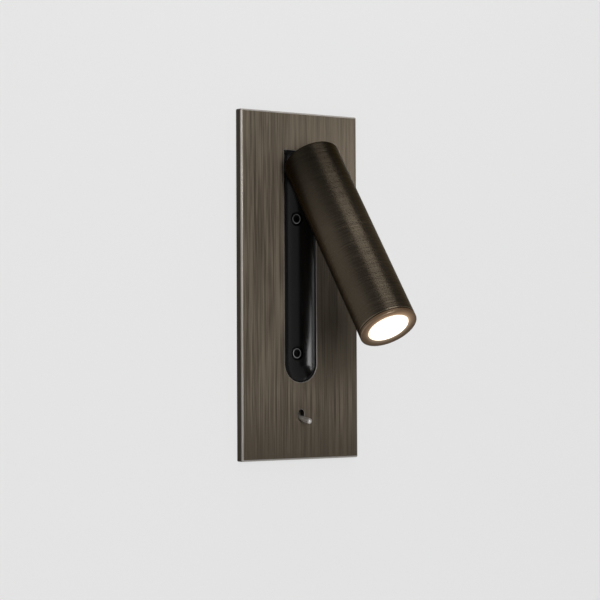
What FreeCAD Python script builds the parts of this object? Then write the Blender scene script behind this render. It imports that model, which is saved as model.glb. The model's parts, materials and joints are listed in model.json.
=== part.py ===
"""Recessed bedside reading lamp: a tube that tilts out of a slotted wall plate.

Millimetres. The origin is the middle of the wall plate's rear face, which lies on the wall. +Z is up,
the room is towards -Y, and the wall box is behind the wall, towards +Y. The pieces of the tilting head
and of the switch lever are drawn about their own pivot and then turned to the angle of the photograph.
"""
import FreeCAD, Part
import os
import re
import sys
import Sketcher
from FreeCAD import Placement, Rotation, Vector

# Driving sizes: name, value, what it is. Everything else is worked out from them.
SIZES = (
    ("plate_width", 74, "wall plate, across"),
    ("plate_depth", 4.5, "wall plate, front face to wall"),
    ("plate_wall", 2, "thickness of the plate's front wall"),
    ("plate_rim", 2, "thickness of the plate's rim"),
    ("plate_round", 0.8, "rounding of the plate's front edges"),
    ("plate_corner", 1.2, "rounding of the plate's four corners"),
    ("top_margin", 20, "plate's top edge to the slot"),
    ("bottom_margin", 22.8, "switch to the plate's bottom edge"),
    ("slot_width", 20, "slot in the plate"),
    ("slot_bevel", 0.3, "bevel round the slot"),
    ("slot_overrun", 6.9, "slot's lower end below the closed tube"),
    ("tube_diameter", 29.5, "outside of the tube"),
    ("tube_wall", 1.5, "thickness of the tube"),
    ("tube_length", 109, "whole head, end to end"),
    ("tube_bevel", 0.6, "bevel of the head's two ends"),
    ("seam_bevel", 0.3, "bevels of the seam behind the front ring"),
    ("rest_tilt", 36, "tilt at rest, in degrees from closed"),
    ("pivot_setback", 5, "pivot below the head's upper end"),
    ("pivot_drop", 9.1, "pivot below the slot's upper end"),
    ("bed_clearance", 1.25, "gap between the closed tube and its bed"),
    ("bed_depth", 3.4, "bed's floor behind the plate's front face"),
    ("bed_wall", 2.1, "thickness of the bed's floor"),
    ("bed_side", 2, "bed's sides beyond the slot"),
    ("bed_gap", 0.3, "gap between the bed and the slot's edge"),
    ("bed_lip_setback", 0.6, "bed's flat lip behind the plate's front face"),
    ("bed_end_wall", 1.2, "wall that closes the bed's upper end"),
    ("flange_thickness", 2, "bed's flange behind the plate"),
    ("flange_width", 48, "bed's flange, across"),
    ("flange_above", 8, "flange above the slot"),
    ("flange_below", 6, "flange below the slot"),
    ("screw_spacing", 70, "the two fixing screws, apart"),
    ("seat_diameter", 7.5, "counterbore of a fixing screw"),
    ("seat_thickness", 2.1, "material under a fixing screw's head"),
    ("boss_diameter", 11.5, "boss round a fixing screw"),
    ("screw_diameter", 3, "all the lamp's main screws"),
    ("screw_length", 10.5, "fixing screw under its head"),
    ("head_diameter", 5.5, "head of a main screw"),
    ("head_height", 3, "head of a main screw"),
    ("socket_across", 2.5, "hexagon socket, across flats"),
    ("socket_depth", 1.5, "hexagon socket"),
    ("screw_hole", 3.4, "clearance hole of a main screw"),
    ("thread_play", 0.05, "radial play between a screw and its thread"),
    ("nut_across", 5.5, "main nut, across flats"),
    ("nut_height", 2.4, "main nut"),
    ("stud_inset", 6, "plate stud in from the flange's edge"),
    ("stud_above", 8, "upper plate stud below the slot's upper end"),
    ("stud_below", 6, "lower plate stud above the slot's lower end"),
    ("arm_width", 8, "hinge arm, across"),
    ("arm_height", 9.2, "hinge arm's eye"),
    ("arm_play", 0.4, "window in the bed round the hinge arm"),
    ("arm_base_width", 25, "hinge arm's base, across"),
    ("arm_base_height", 14, "hinge arm's base"),
    ("arm_base_thickness", 3, "hinge arm's base"),
    ("arm_screw_spacing", 17, "the hinge arm's two screws, apart"),
    ("arm_screw_grip", 4.5, "hinge arm's screw in the bed"),
    ("groove_width", 3, "wire groove under the hinge arm"),
    ("groove_depth", 2.2, "wire groove under the hinge arm"),
    ("pin_diameter", 4, "shoulder of the hinge pin"),
    ("pin_play", 0.05, "radial play of the hinge pin"),
    ("pin_margin", 1, "hinge pin's nut in from the hinge block's side"),
    ("thread_end", 0.4, "hinge pin's thread beyond its nut"),
    ("pin_head_height", 2.5, "hinge pin's head"),
    ("pin_head_diameter", 6, "hinge pin's head"),
    ("pin_pocket", 6.8, "pockets in the hinge block for the pin's ends"),
    ("washer_thickness", 1, "friction washer"),
    ("washer_diameter", 8.8, "friction washer"),
    ("washer_play", 0.05, "play beside each friction washer"),
    ("spring_thickness", 0.8, "spring washer"),
    ("spring_diameter", 5.8, "spring washer"),
    ("clevis_margin", 0.6, "room round the arm's eye in the hinge block"),
    ("block_length", 22, "hinge block"),
    ("block_fit", 0.05, "radial fit of what slides into the tube"),
    ("wire_hole", 5, "wire hole through the hinge block"),
    ("end_cap_thickness", 1.5, "cap of the tube's upper end"),
    ("cap_screw_inset", 2, "cap screw in from the tube's bore"),
    ("small_screw", 2, "cap and board screws"),
    ("small_head", 3.8, "head of a cap or board screw"),
    ("small_head_height", 1.2, "head of a cap or board screw"),
    ("small_screw_length", 6, "cap screw"),
    ("cap_screw_sunk", 0.1, "cap screw's head below the cap's face"),
    ("side_screw", 2.5, "screw through the tube's rear wall"),
    ("side_screw_head", 4.7, "head of a screw in the tube's wall"),
    ("side_screw_length", 6.5, "screw through the tube's rear wall"),
    ("side_screw_inset", 0.15, "its head below the tube's surface"),
    ("side_screw_drop", 13, "upper one of them, below the pivot"),
    ("ring_height", 2, "front ring, outside the tube"),
    ("ring_width", 4.1, "front ring's face"),
    ("ring_dish", 1.4, "width of the front ring's slope down to the lens"),
    ("ring_lip", 1.2, "front ring's lip in front of the lens"),
    ("ring_sleeve", 8, "front ring's sleeve in the tube"),
    ("ring_sleeve_wall", 1.1, "front ring's sleeve"),
    ("lens_setback", 0.5, "lens behind the front ring's face"),
    ("lens_thickness", 2.4, "lens behind the front ring's lip"),
    ("lens_play", 0.1, "radial play of the lens"),
    ("reflector_length", 13, "lens to circuit board"),
    ("reflector_wall", 0.8, "reflector"),
    ("emitter_diameter", 8.8, "light-emitting chip"),
    ("emitter_height", 0.8, "light-emitting chip"),
    ("board_thickness", 1.2, "lamp's circuit board"),
    ("board_edge", 0.5, "board's edge in from the tube's bore"),
    ("board_screw_inset", 0.8, "board screw's head in from the tube's bore"),
    ("board_screw_length", 5, "board screw"),
    ("pad_thickness", 0.5, "thermal pad"),
    ("sink_base", 6, "heat sink's solid end"),
    ("sink_length", 36, "heat sink"),
    ("sink_core", 8, "heat sink's core, across"),
    ("fin_thickness", 1.2, "heat sink's fin"),
    ("fin_count", 14, "heat sink's fins"),
    ("fin_inset", 0.2, "heat sink's fins inside its solid end"),
    ("switch_drop", 17.2, "switch below the slot's lower end"),
    ("switch_hole_width", 3.8, "hole in the plate for the lever"),
    ("switch_hole_height", 6.3, "hole in the plate for the lever"),
    ("switch_pivot_depth", 7, "lever's pivot behind the plate's front face"),
    ("lever_tilt", 11, "lever at rest, in degrees below level"),
    ("lever_reach", 15.6, "lever's tip from its pivot"),
    ("lever_diameter", 2.9, "lever at its tip"),
    ("lever_neck", 1.9, "lever at its pivot"),
    ("lever_tail", 2.6, "lever's tail behind its pivot"),
    ("ball_diameter", 4.4, "ball that the lever turns on"),
    ("ball_play", 0.08, "radial play of the ball"),
    ("bush_diameter", 6, "switch's threaded bush"),
    ("bush_front", 3, "bush's front end behind the plate's front face"),
    ("ledge_depth", 5.2, "switch ledge behind the plate's front face"),
    ("ledge_thickness", 1.5, "switch ledge"),
    ("ledge_width", 18, "switch ledge, across"),
    ("ledge_below", 8.6, "switch ledge below the lever"),
    ("rib_thickness", 1.5, "ledge's side ribs"),
    ("switch_nut_across", 8, "nut on the bush"),
    ("switch_nut_height", 2, "nut on the bush"),
    ("switch_width", 7, "switch body, across"),
    ("switch_height", 12.8, "switch body"),
    ("switch_length", 9, "switch body, front to back"),
    ("terminal_pitch", 4.7, "switch's terminals, apart"),
    ("terminal_length", 4, "switch's terminals"),
    ("terminal_width", 2, "switch's terminals"),
    ("terminal_thickness", 0.8, "switch's terminals"),
    ("box_reveal_side", 8, "plate beyond the wall box, each side"),
    ("box_reveal_end", 10, "plate beyond the wall box, each end"),
    ("box_front", 0.5, "wall box behind the wall's surface"),
    ("box_depth", 45, "wall box's back behind the wall's surface"),
    ("box_wall", 1.2, "wall box's sheet"),
    ("box_corner", 3, "wall box's upright corners"),
    ("box_hole", 5.5, "wall box's fixing holes"),
    ("box_hole_side", 6, "fixing hole from the box's side, inside"),
    ("box_hole_end", 8, "fixing hole from the box's end, inside"),
    ("strap_thickness", 2, "cross strap"),
    ("strap_height", 14, "cross strap"),
    ("strap_tab", 10, "cross strap's ends along the box's sides"),
    ("entry_depth", 30, "cable entry behind the wall's surface"),
    ("entry_hole", 16, "cable entry's hole in the box"),
    ("entry_bore", 9, "bore of the grommet"),
    ("grommet_flange", 2.5, "grommet's flanges beyond the hole"),
    ("grommet_flange_height", 2.2, "grommet's flanges"),
    ("grommet_play", 0.05, "grommet in its hole"),
    ("driver_width", 40, "driver case"),
    ("driver_height", 74, "driver case"),
    ("driver_depth", 20, "driver case"),
    ("driver_wall", 1.6, "driver case"),
    ("driver_top", 18, "driver case below the box's inside"),
    ("driver_ear", 8, "driver case's ears"),
    ("driver_ear_width", 12, "driver case's ears"),
    ("driver_cover_thickness", 1.6, "driver cover"),
    ("driver_core", 15, "driver's transformer, each way"),
    ("mains_width", 30, "terminal block"),
    ("mains_height", 17, "terminal block"),
    ("mains_depth", 16, "terminal block"),
    ("mains_bottom", 17, "terminal block above the box's inside"),
    ("mains_pitch", 9, "terminal block's poles"),
    ("pole_bore", 3.4, "terminal block's square wire ways"),
    ("pole_screw", 4, "terminal block's screws"),
    ("earth_offset", 6, "earth screw from the box's side, inside"),
    ("earth_gap", 6.5, "earth screw above the terminal block"),
    ("earth_diameter", 4, "earth screw"),
    ("earth_head", 7.5, "earth screw's head"),
    ("earth_head_height", 2.6, "earth screw's head"),
    ("earth_washer", 9, "earth screw's washer"),
)

document = FreeCAD.newDocument("reading_lamp")
sheet = document.addObject("Spreadsheet::Sheet", "Sizes")
for row, (alias, number, meaning) in enumerate(SIZES, start=1):
    sheet.set(f"A{row}", meaning)
    sheet.set(f"B{row}", str(number))
    sheet.setAlias(f"B{row}", alias)
document.recompute()

# Places that several pieces share, as expressions of the driving sizes.
ABOVE_SLOT_END = "(top_margin + pivot_drop + tube_length - pivot_setback + slot_overrun)"
HALF_HEIGHT = f"(({ABOVE_SLOT_END} + switch_drop + bottom_margin) / 2)"
HALF_WIDTH = "(plate_width / 2)"
FRONT = "(-plate_depth)"
PLATE_BACK = f"({FRONT} + plate_wall)"
FLANGE_BACK = f"({PLATE_BACK} + flange_thickness)"
SLOT_TOP = f"({HALF_HEIGHT} - top_margin)"
PIVOT_Z = f"({SLOT_TOP} - pivot_drop)"
SLOT_END = f"({PIVOT_Z} - tube_length + pivot_setback - slot_overrun)"
SWITCH_Z = f"({SLOT_END} - switch_drop)"
BED_RADIUS = "(tube_diameter / 2 + bed_clearance)"
BED_FLOOR = f"({FRONT} + bed_depth)"
AXIS_Y = f"({BED_FLOOR} - {BED_RADIUS})"
BED_BACK = f"({BED_FLOOR} + head_height + seat_thickness)"
BED_HALF = "(slot_width / 2 + bed_side)"
BED_REAR = f"({BED_FLOOR} + bed_wall)"
LEDGE_FRONT = f"({FRONT} + ledge_depth)"
LEDGE_BACK = f"({LEDGE_FRONT} + ledge_thickness)"
SWITCH_PIVOT_Y = f"({FRONT} + switch_pivot_depth)"
BOX_HALF = "(plate_width / 2 - box_reveal_side)"
BOX_TALL = f"({HALF_HEIGHT} - box_reveal_end)"
INNER_HALF = f"({BOX_HALF} - box_wall)"
INNER_TALL = f"({BOX_TALL} - box_wall)"
BOX_FLOOR = "(box_depth - box_wall)"
STUD_X = "(flange_width / 2 - stud_inset)"
STUDS = [(f"{side}{STUD_X}", z) for side in ("", "-") for z in
         (f"({SLOT_TOP} - stud_above)", f"({SLOT_END} + stud_below)")]
FIXINGS = [("0", "screw_spacing / 2"), ("0", "-screw_spacing / 2")]
ARM_SCREWS = [(f"{side}arm_screw_spacing / 2", PIVOT_Z) for side in ("", "-")]
# The same along the head's own axis, measured up from the pivot.
MIDDLE = [("0", "0")]
TUBE_RADIUS = "(tube_diameter / 2)"
BORE_RADIUS = "(tube_diameter / 2 - tube_wall)"
SLIDE_RADIUS = f"({BORE_RADIUS} - block_fit)"
HEAD_TOP = "pivot_setback"
TUBE_TOP = "(pivot_setback - end_cap_thickness)"
HEAD_BOTTOM = "(pivot_setback - tube_length)"
TUBE_BOTTOM = f"({HEAD_BOTTOM} + ring_height)"
BLOCK_BOTTOM = f"({TUBE_TOP} - block_length)"
LENS_FRONT = f"({HEAD_BOTTOM} + ring_lip)"
LENS_BACK = f"({LENS_FRONT} + lens_thickness)"
LENS_RADIUS = f"({SLIDE_RADIUS} - ring_sleeve_wall - lens_play)"
BOARD_FRONT = f"({LENS_BACK} + reflector_length)"
BOARD_BACK = f"({BOARD_FRONT} + board_thickness)"
SINK_FRONT = f"({BOARD_BACK} + pad_thickness)"
SINK_BACK = f"({SINK_FRONT} + sink_length)"
BOARD_RADIUS = f"({BORE_RADIUS} - board_edge)"
CLEVIS_HALF = "(arm_width / 2 + washer_thickness + 2 * washer_play)"
CLEVIS_RADIUS = "(arm_height / 2 + clevis_margin)"
CAP_SCREW_OFFSET = f"(({BORE_RADIUS} - cap_screw_inset) / sqrt(2))"
CAP_SCREWS = [(f"{side}{CAP_SCREW_OFFSET}", f"{end}{CAP_SCREW_OFFSET}")
              for side in ("", "-") for end in ("", "-")]
PIN_SEAT = f"({SLIDE_RADIUS} - spring_thickness - nut_height - pin_margin)"
SIDE_SCREWS = [("0", "-side_screw_drop"), ("0", f"{SINK_FRONT} + sink_base / 2")]
SIDE_TIP = f"({TUBE_RADIUS} - side_screw_inset - side_screw_length)"
BOARD_SCREW_OFFSET = f"({BORE_RADIUS} - small_head / 2 - board_screw_inset)"
BOARD_SCREWS = [(BOARD_SCREW_OFFSET, "0"), (f"-{BOARD_SCREW_OFFSET}", "0")]
BOARD_WIRES = [("0", f"-{BOARD_SCREW_OFFSET}")]
# Places in the wall box.
BOX_HOLES = [(f"{side}({INNER_HALF} - box_hole_side)", f"{end}({INNER_TALL} - box_hole_end)")
             for side in ("", "-") for end in ("", "-")]
DRIVER_Z = f"({INNER_TALL} - driver_top - driver_height / 2)"
DRIVER_SCREWS = [("0", f"{DRIVER_Z} {sign} (driver_height + driver_ear) / 2") for sign in ("+", "-")]
DRIVER_POSTS = [(f"{side}(driver_width / 2 - 5)", f"{DRIVER_Z} {sign} (driver_height / 2 - 5)")
                for side in ("", "-") for sign in ("+", "-")]
MAINS_Z = f"(mains_bottom + mains_height / 2 - {INNER_TALL})"
POLES = [(x, f"{MAINS_Z} {sign} mains_height / 4")
         for sign in ("+", "-") for x in ("-mains_pitch", "0", "mains_pitch")]
MAINS_SCREWS = [("mains_pitch / 2", MAINS_Z), ("-mains_pitch / 2", MAINS_Z)]
EARTH = [(f"(earth_offset - {INNER_HALF})", f"({MAINS_Z} + mains_height / 2 + earth_gap)")]

ALIASES = re.compile(r"\b(" + "|".join(alias for alias, _, _ in SIZES) + r")\b")
pieces = []


def bound(size):
    """The expression with each driving size taken from the sheet."""
    return ALIASES.sub(r"Sizes.\1", size)


def value(size):
    """The number that an expression has now."""
    number = sheet.evalExpression(size)
    return float(getattr(number, "Value", number))


def piece(label, several=False):
    """A new body, whose label names its file."""
    body = document.addObject("PartDesign::Body", label)
    body.Label = label
    body.AllowCompound = several
    pieces.append(body)
    return body


def place(body, y="0", z="0", x="0", tilt=None):
    """Puts a body at its place, turned outwards about its own X axis if it tilts."""
    if tilt:
        body.Placement = Placement(Vector(), Rotation(Vector(-1, 0, 0), value(tilt)))
        body.setExpression("Placement.Rotation.Angle", bound(tilt))
    body.setExpression("Placement.Base.x", bound(x))
    body.setExpression("Placement.Base.y", bound(y))
    body.setExpression("Placement.Base.z", bound(z))


def place_on_head(body):
    """Puts a body that was drawn about the hinge pivot at the tilt of the photograph."""
    place(body, AXIS_Y, PIVOT_Z, tilt="rest_tilt")


def pin_point(sketch, edge, point, place_at, axes=("DistanceX", "DistanceY")):
    """Holds a point of a sketch at its place."""
    for axis, size in zip(("DistanceX", "DistanceY"), place_at):
        if axis in axes:
            row = sketch.addConstraint(Sketcher.Constraint(axis, -1, 1, edge, point, value(size)))
            sketch.setExpression(f"Constraints[{row}]", bound(size))


def outline(*corners):
    """A closed outline. A corner is (a, b), reached by a straight line, or (a, b, centre a, centre b, turn),
    reached round that centre, turning "left" or "right"."""

    def add(sketch):
        first = sketch.GeometryCount
        count = len(corners)
        starts = []
        for number, corner in enumerate(corners):
            end = Vector(value(corner[0]), value(corner[1]), 0)
            before = Vector(value(corners[number - 1][0]), value(corners[number - 1][1]), 0)
            if len(corner) == 2:
                sketch.addGeometry(Part.LineSegment(before, end))
                starts.append((1, 2))
                continue
            centre = Vector(value(corner[2]), value(corner[3]), 0)
            left = corner[4] == "left"
            from_point, to_point = (before, end) if left else (end, before)
            circle = Part.Circle(centre, Vector(0, 0, 1), (before - centre).Length)
            reach = circle.parameter(from_point), circle.parameter(to_point)
            sketch.addGeometry(Part.ArcOfCircle(circle, *reach))
            starts.append((1, 2) if left else (2, 1))
        for number, corner in enumerate(corners):
            follows = (number + 1) % count
            ends = starts[number][1]
            sketch.addConstraint(Sketcher.Constraint(
                "Coincident", first + number, ends, first + follows, starts[follows][0]))
            if len(corner) == 2:
                pin_point(sketch, first + number, ends, corner)
                continue
            pin_point(sketch, first + number, 3, corner[2:4])
            across = abs(value(corner[0]) - value(corner[2]))
            along = abs(value(corner[1]) - value(corner[3]))
            free = ("DistanceY",) if across > along else ("DistanceX",)
            pin_point(sketch, first + number, ends, corner, free)

    return add


def rectangle(left, right, bottom, top):
    return outline((left, bottom), (right, bottom), (right, top), (left, top))


def middle_rectangle(half_width, half_height, a="0", b="0"):
    return rectangle(f"{a} - {half_width}", f"{a} + {half_width}",
                     f"{b} - {half_height}", f"{b} + {half_height}")


def discs(diameter, centres):
    """Equal circles."""

    def add(sketch):
        for centre in centres:
            at = Vector(value(centre[0]), value(centre[1]), 0)
            radius = f"({diameter}) / 2"
            edge = sketch.addGeometry(Part.Circle(at, Vector(0, 0, 1), value(radius)))
            pin_point(sketch, edge, 3, centre)
            row = sketch.addConstraint(Sketcher.Constraint("Radius", edge, value(radius)))
            sketch.setExpression(f"Constraints[{row}]", bound(radius))

    return add


def hexagons(across, centres):
    """Equal hexagons, given across their flats."""

    def add(sketch):
        for a, b in centres:
            corner = f"({across}) / sqrt(3)"
            outline(*[(f"({a}) + {corner} * cos({60 * turn} deg)", f"({b}) + {corner} * sin({60 * turn} deg)")
                      for turn in range(6)])(sketch)

    return add


def rings(outside, inside, centres):
    """Equal rings."""
    return together(discs(outside, centres), discs(inside, centres))


def together(*outlines):
    """Several outlines in one sketch."""

    def add(sketch):
        for each in outlines:
            each(sketch)

    return add


def origin_plane(body, plane):
    return next(item for item in body.Origin.OriginFeatures if item.Role == f"{plane}_Plane")


def draw(body, name, plane, at, shape):
    """A sketch parallel to one of the body's planes. XZ faces the room, XY faces up and YZ faces +X."""
    sketch = body.newObject("Sketcher::SketchObject", f"{body.Name}_{name}_outline")
    sketch.AttachmentSupport = [(origin_plane(body, plane), "")]
    sketch.MapMode = "FlatFace"
    sketch.setExpression("AttachmentOffset.Base.z", bound(f"-({at})" if plane == "XZ" else f"({at})"))
    shape(sketch)
    return sketch


def pad(body, name, plane, low, high, shape):
    """Adds material between two places along the axis that crosses the plane."""
    feature = body.newObject("PartDesign::Pad", f"{body.Name}_{name}")
    feature.Profile = draw(body, name, plane, high if plane == "XZ" else low, shape)
    feature.setExpression("Length", bound(f"({high}) - ({low})"))
    return feature


def cut(body, name, plane, low, high, shape):
    """Takes material away between two places along the axis that crosses the plane."""
    feature = body.newObject("PartDesign::Pocket", f"{body.Name}_{name}")
    feature.Profile = draw(body, name, plane, low if plane == "XZ" else high, shape)
    feature.setExpression("Length", bound(f"({high}) - ({low})"))
    return feature


def cone(body, name, kind, plane, centres, radius, low, high):
    """Adds or takes away 45 degree cones that widen upwards (XY) or towards the rear (XZ), from a radius."""
    wide = f"{radius} + ({high}) - ({low})"
    small_first = plane == "XY"
    for number, (a, b) in enumerate(centres):
        feature = body.newObject(f"PartDesign::{kind}Cone", f"{body.Name}_{name}_{number}")
        feature.AttachmentSupport = [(origin_plane(body, plane), "")]
        feature.MapMode = "FlatFace"
        feature.setExpression("Radius1", bound(radius if small_first else wide))
        feature.setExpression("Radius2", bound(wide if small_first else radius))
        feature.setExpression("Height", bound(f"({high}) - ({low})"))
        feature.setExpression("AttachmentOffset.Base.x", bound(a))
        feature.setExpression("AttachmentOffset.Base.y", bound(b))
        feature.setExpression("AttachmentOffset.Base.z", bound(f"({low})" if small_first else f"-({high})"))


def turn(body, name, *corners, kind="Revolution", plane="XZ"):
    """Turns an outline of (radius, height) about the body's upright axis."""
    sketch = draw(body, name, plane, "0", outline(*corners))
    feature = body.newObject(f"PartDesign::{kind}", f"{body.Name}_{name}")
    feature.Profile = sketch
    feature.ReferenceAxis = (sketch, ["V_Axis"])
    feature.Angle = 360
    return feature


def ease(body, name, kind, size, wanted):
    """Rounds (Fillet) or bevels (Chamfer) the edges of the body's last feature that are wanted."""
    document.recompute()
    base = body.Tip
    edges = [f"Edge{number}" for number, edge in enumerate(base.Shape.Edges, start=1) if wanted(edge)]
    if not edges:
        raise RuntimeError(f"{body.Label}: no edge for {name}")
    feature = body.newObject(f"PartDesign::{kind}", f"{body.Name}_{name}")
    feature.Base = (base, edges)
    feature.setExpression("Radius" if kind == "Fillet" else "Size", bound(size))
    return feature


def on_plane(axis, size):
    """True for an edge that lies wholly at one place along an axis."""
    at = value(size)

    def wanted(edge):
        box = edge.BoundBox
        low, high = getattr(box, f"{axis}Min"), getattr(box, f"{axis}Max")
        return abs(low - at) < 1e-4 and abs(high - at) < 1e-4

    return wanted


def slot_outline(margin):
    """The slot in the plate, made smaller all round by a margin: square above, round below."""
    half = f"(slot_width / 2 - {margin})"
    centre = f"({SLOT_END} + slot_width / 2)"
    top = f"({SLOT_TOP} - {margin})"
    return outline((f"-{half}", top), (f"-{half}", centre), (half, centre, "0", centre, "left"), (half, top))


def upright_oval(width, height, z):
    """A slot with two round ends."""
    half = f"(({width}) / 2)"
    low = f"({z} - ({height}) / 2 + {half})"
    high = f"({z} + ({height}) / 2 - {half})"
    return outline((f"-{half}", low), (half, low, "0", low, "left"), (half, high),
                   (f"-{half}", high, "0", high, "left"))


# ---------------------------------------------------------------- wall plate and bed


def front_plate():
    body = piece("front_plate")
    pad(body, "slab", "XZ", FRONT, "0", middle_rectangle(HALF_WIDTH, HALF_HEIGHT))
    ease(body, "corners", "Fillet", "plate_corner", lambda edge: edge.BoundBox.YLength > 1e-3)
    ease(body, "front_edge", "Fillet", "plate_round", on_plane("Y", FRONT))
    cut(body, "hollow", "XZ", PLATE_BACK, "0",
        middle_rectangle(f"({HALF_WIDTH} - plate_rim)", f"({HALF_HEIGHT} - plate_rim)"))
    slot = cut(body, "slot", "XZ", FRONT, PLATE_BACK, slot_outline("0"))
    half = value("slot_width / 2") + 1e-3
    ease(body, "slot_edge", "Chamfer", "slot_bevel",
         lambda edge: on_plane("Y", FRONT)(edge) and abs(edge.CenterOfMass.x) < half
         and edge.BoundBox.XLength <= 2 * half)
    cut(body, "switch_hole", "XZ", FRONT, PLATE_BACK,
        upright_oval("switch_hole_width", "switch_hole_height", SWITCH_Z))
    pad(body, "studs", "XZ", PLATE_BACK, f"{FLANGE_BACK} + nut_height + 1.2", discs("screw_diameter", STUDS))
    return slot


def cradle_trough():
    """The glossy bed: a flange behind the plate, a nose that fills the slot, and what they carry."""
    body = piece("cradle_trough")
    low = f"({SLOT_END} - flange_below)"
    pad(body, "flange", "XZ", PLATE_BACK, FLANGE_BACK,
        rectangle("-flange_width / 2", "flange_width / 2", low, f"{SLOT_TOP} + flange_above"))
    pad(body, "nose", "XZ", f"{FRONT} + bed_lip_setback", PLATE_BACK, slot_outline("bed_gap"))
    pad(body, "floor", "XZ", FLANGE_BACK, BED_REAR,
        rectangle(f"-{BED_HALF}", BED_HALF, f"{SLOT_END} - bed_side", f"{SLOT_TOP} + bed_side"))
    pad(body, "bosses", "XZ", FLANGE_BACK, BED_BACK, discs("boss_diameter", FIXINGS))
    pad(body, "hinge_pad", "XZ", FLANGE_BACK, BED_BACK,
        middle_rectangle("(arm_base_width / 2)", "(arm_base_height / 2 + 1)", b=PIVOT_Z))
    ledge_low = f"{SWITCH_Z} - ledge_below"
    pad(body, "ledge", "XZ", LEDGE_FRONT, LEDGE_BACK,
        rectangle("-ledge_width / 2", "ledge_width / 2", ledge_low, f"{SLOT_END} + bed_side"))
    for side, name in (("", "right_rib"), ("-", "left_rib")):
        outer, inner = f"{side}(ledge_width / 2)", f"{side}(ledge_width / 2 - rib_thickness)"
        pad(body, name, "XZ", FLANGE_BACK, LEDGE_BACK, outline((outer, ledge_low), (outer, f"{SLOT_END}"),
            (inner, f"{SLOT_END}"), (inner, ledge_low)))
    trough(body)
    cut(body, "screw_seats", "XZ", FRONT, f"{BED_FLOOR} + head_height", discs("seat_diameter", FIXINGS))
    cut(body, "screw_holes", "XZ", FRONT, BED_BACK, discs("screw_hole", FIXINGS))
    cut(body, "hinge_window", "XZ", FRONT, BED_BACK,
        middle_rectangle("(arm_width / 2 + arm_play)", "(arm_height / 2 + arm_play)", b=PIVOT_Z))
    cut(body, "stud_holes", "XZ", PLATE_BACK, FLANGE_BACK, discs("screw_hole", STUDS))
    cut(body, "arm_threads", "XZ", f"{BED_BACK} - arm_screw_grip - 0.5", BED_BACK,
        discs("screw_diameter + 2 * thread_play", ARM_SCREWS))
    cut(body, "bush_hole", "XZ", LEDGE_FRONT, LEDGE_BACK,
        discs("bush_diameter + 2 * thread_play", [("0", SWITCH_Z)]))


def trough(body):
    """Hollows the bed to the tube's own form: a half pipe about the closed tube, with a ball end below."""
    ball = f"({SLOT_END} + slot_width / 2)"
    top = f"({SLOT_TOP} - bed_gap - bed_end_wall)"
    side = f"({AXIS_Y} + {BED_RADIUS})"
    sketch = draw(body, "trough", "YZ", "0", outline(
        (AXIS_Y, top), (AXIS_Y, f"{ball} - {BED_RADIUS}"), (side, ball, AXIS_Y, ball, "left"), (side, top)))
    axis = Part.LineSegment(Vector(value(AXIS_Y), value(ball), 0), Vector(value(AXIS_Y), value(top), 0))
    line = sketch.addGeometry(axis, True)
    for point, height in ((1, ball), (2, top)):
        pin_point(sketch, line, point, (AXIS_Y, height))
    feature = body.newObject("PartDesign::Groove", f"{body.Name}_trough")
    feature.Profile = sketch
    feature.ReferenceAxis = (sketch, ["Axis0"])
    feature.Angle = 360


def socket_screws(label, centres, seat, tip, head_side=-1):
    """Socket-head screws along Y. Their heads stand on the seat, towards the room (-1) or the box (+1)."""
    body = piece(label, several=True)
    if head_side < 0:
        pad(body, "heads", "XZ", f"{seat} - head_height", seat, discs("head_diameter", centres))
        pad(body, "shanks", "XZ", seat, tip, discs("screw_diameter", centres))
        cut(body, "sockets", "XZ", f"{seat} - head_height", f"{seat} - head_height + socket_depth",
            hexagons("socket_across", centres))
    else:
        pad(body, "heads", "XZ", seat, f"{seat} + head_height", discs("head_diameter", centres))
        pad(body, "shanks", "XZ", tip, seat, discs("screw_diameter", centres))
        cut(body, "sockets", "XZ", f"{seat} + head_height - socket_depth", f"{seat} + head_height",
            hexagons("socket_across", centres))


def nuts(label, centres, front):
    """Hexagon nuts along Y."""
    body = piece(label, several=True)
    pad(body, "hexagons", "XZ", front, f"{front} + nut_height",
        together(hexagons("nut_across", centres), discs("screw_diameter + 2 * thread_play", centres)))
    return body


def wall_fastening():
    seat = f"({BED_FLOOR} + head_height)"
    socket_screws("fixing_screws", FIXINGS, seat, f"{seat} + screw_length")
    nuts("plate_nuts", STUDS, FLANGE_BACK)
    nuts("strap_nuts", FIXINGS, f"{BED_BACK} + strap_thickness")


# ---------------------------------------------------------------- hinge


def hinge_arm():
    """A plate behind the bed with an eye that reaches through the bed's window into the tube."""
    body = piece("hinge_arm")
    back = f"({BED_BACK} + arm_base_thickness)"
    low, high = f"({PIVOT_Z} - arm_height / 2)", f"({PIVOT_Z} + arm_height / 2)"
    pad(body, "base", "XZ", BED_BACK, back,
        middle_rectangle("(arm_base_width / 2)", "(arm_base_height / 2)", b=PIVOT_Z))
    pad(body, "eye", "YZ", "-arm_width / 2", "arm_width / 2", outline(
        (BED_BACK, low), (BED_BACK, high), (AXIS_Y, high), (AXIS_Y, low, AXIS_Y, PIVOT_Z, "left")))
    cut(body, "pin_hole", "YZ", "-arm_width / 2", "arm_width / 2",
        discs("pin_diameter + 2 * pin_play", [(AXIS_Y, PIVOT_Z)]))
    cut(body, "screw_holes", "XZ", BED_BACK, back, discs("screw_hole", ARM_SCREWS))
    cut(body, "wire_groove", "XZ", f"{AXIS_Y} + arm_height / 2 + pin_diameter / 2", back,
        rectangle("-groove_width / 2", "groove_width / 2", low, f"{low} + groove_depth"))
    socket_screws("arm_screws", ARM_SCREWS, back, f"{BED_BACK} - arm_screw_grip", head_side=1)


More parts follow.
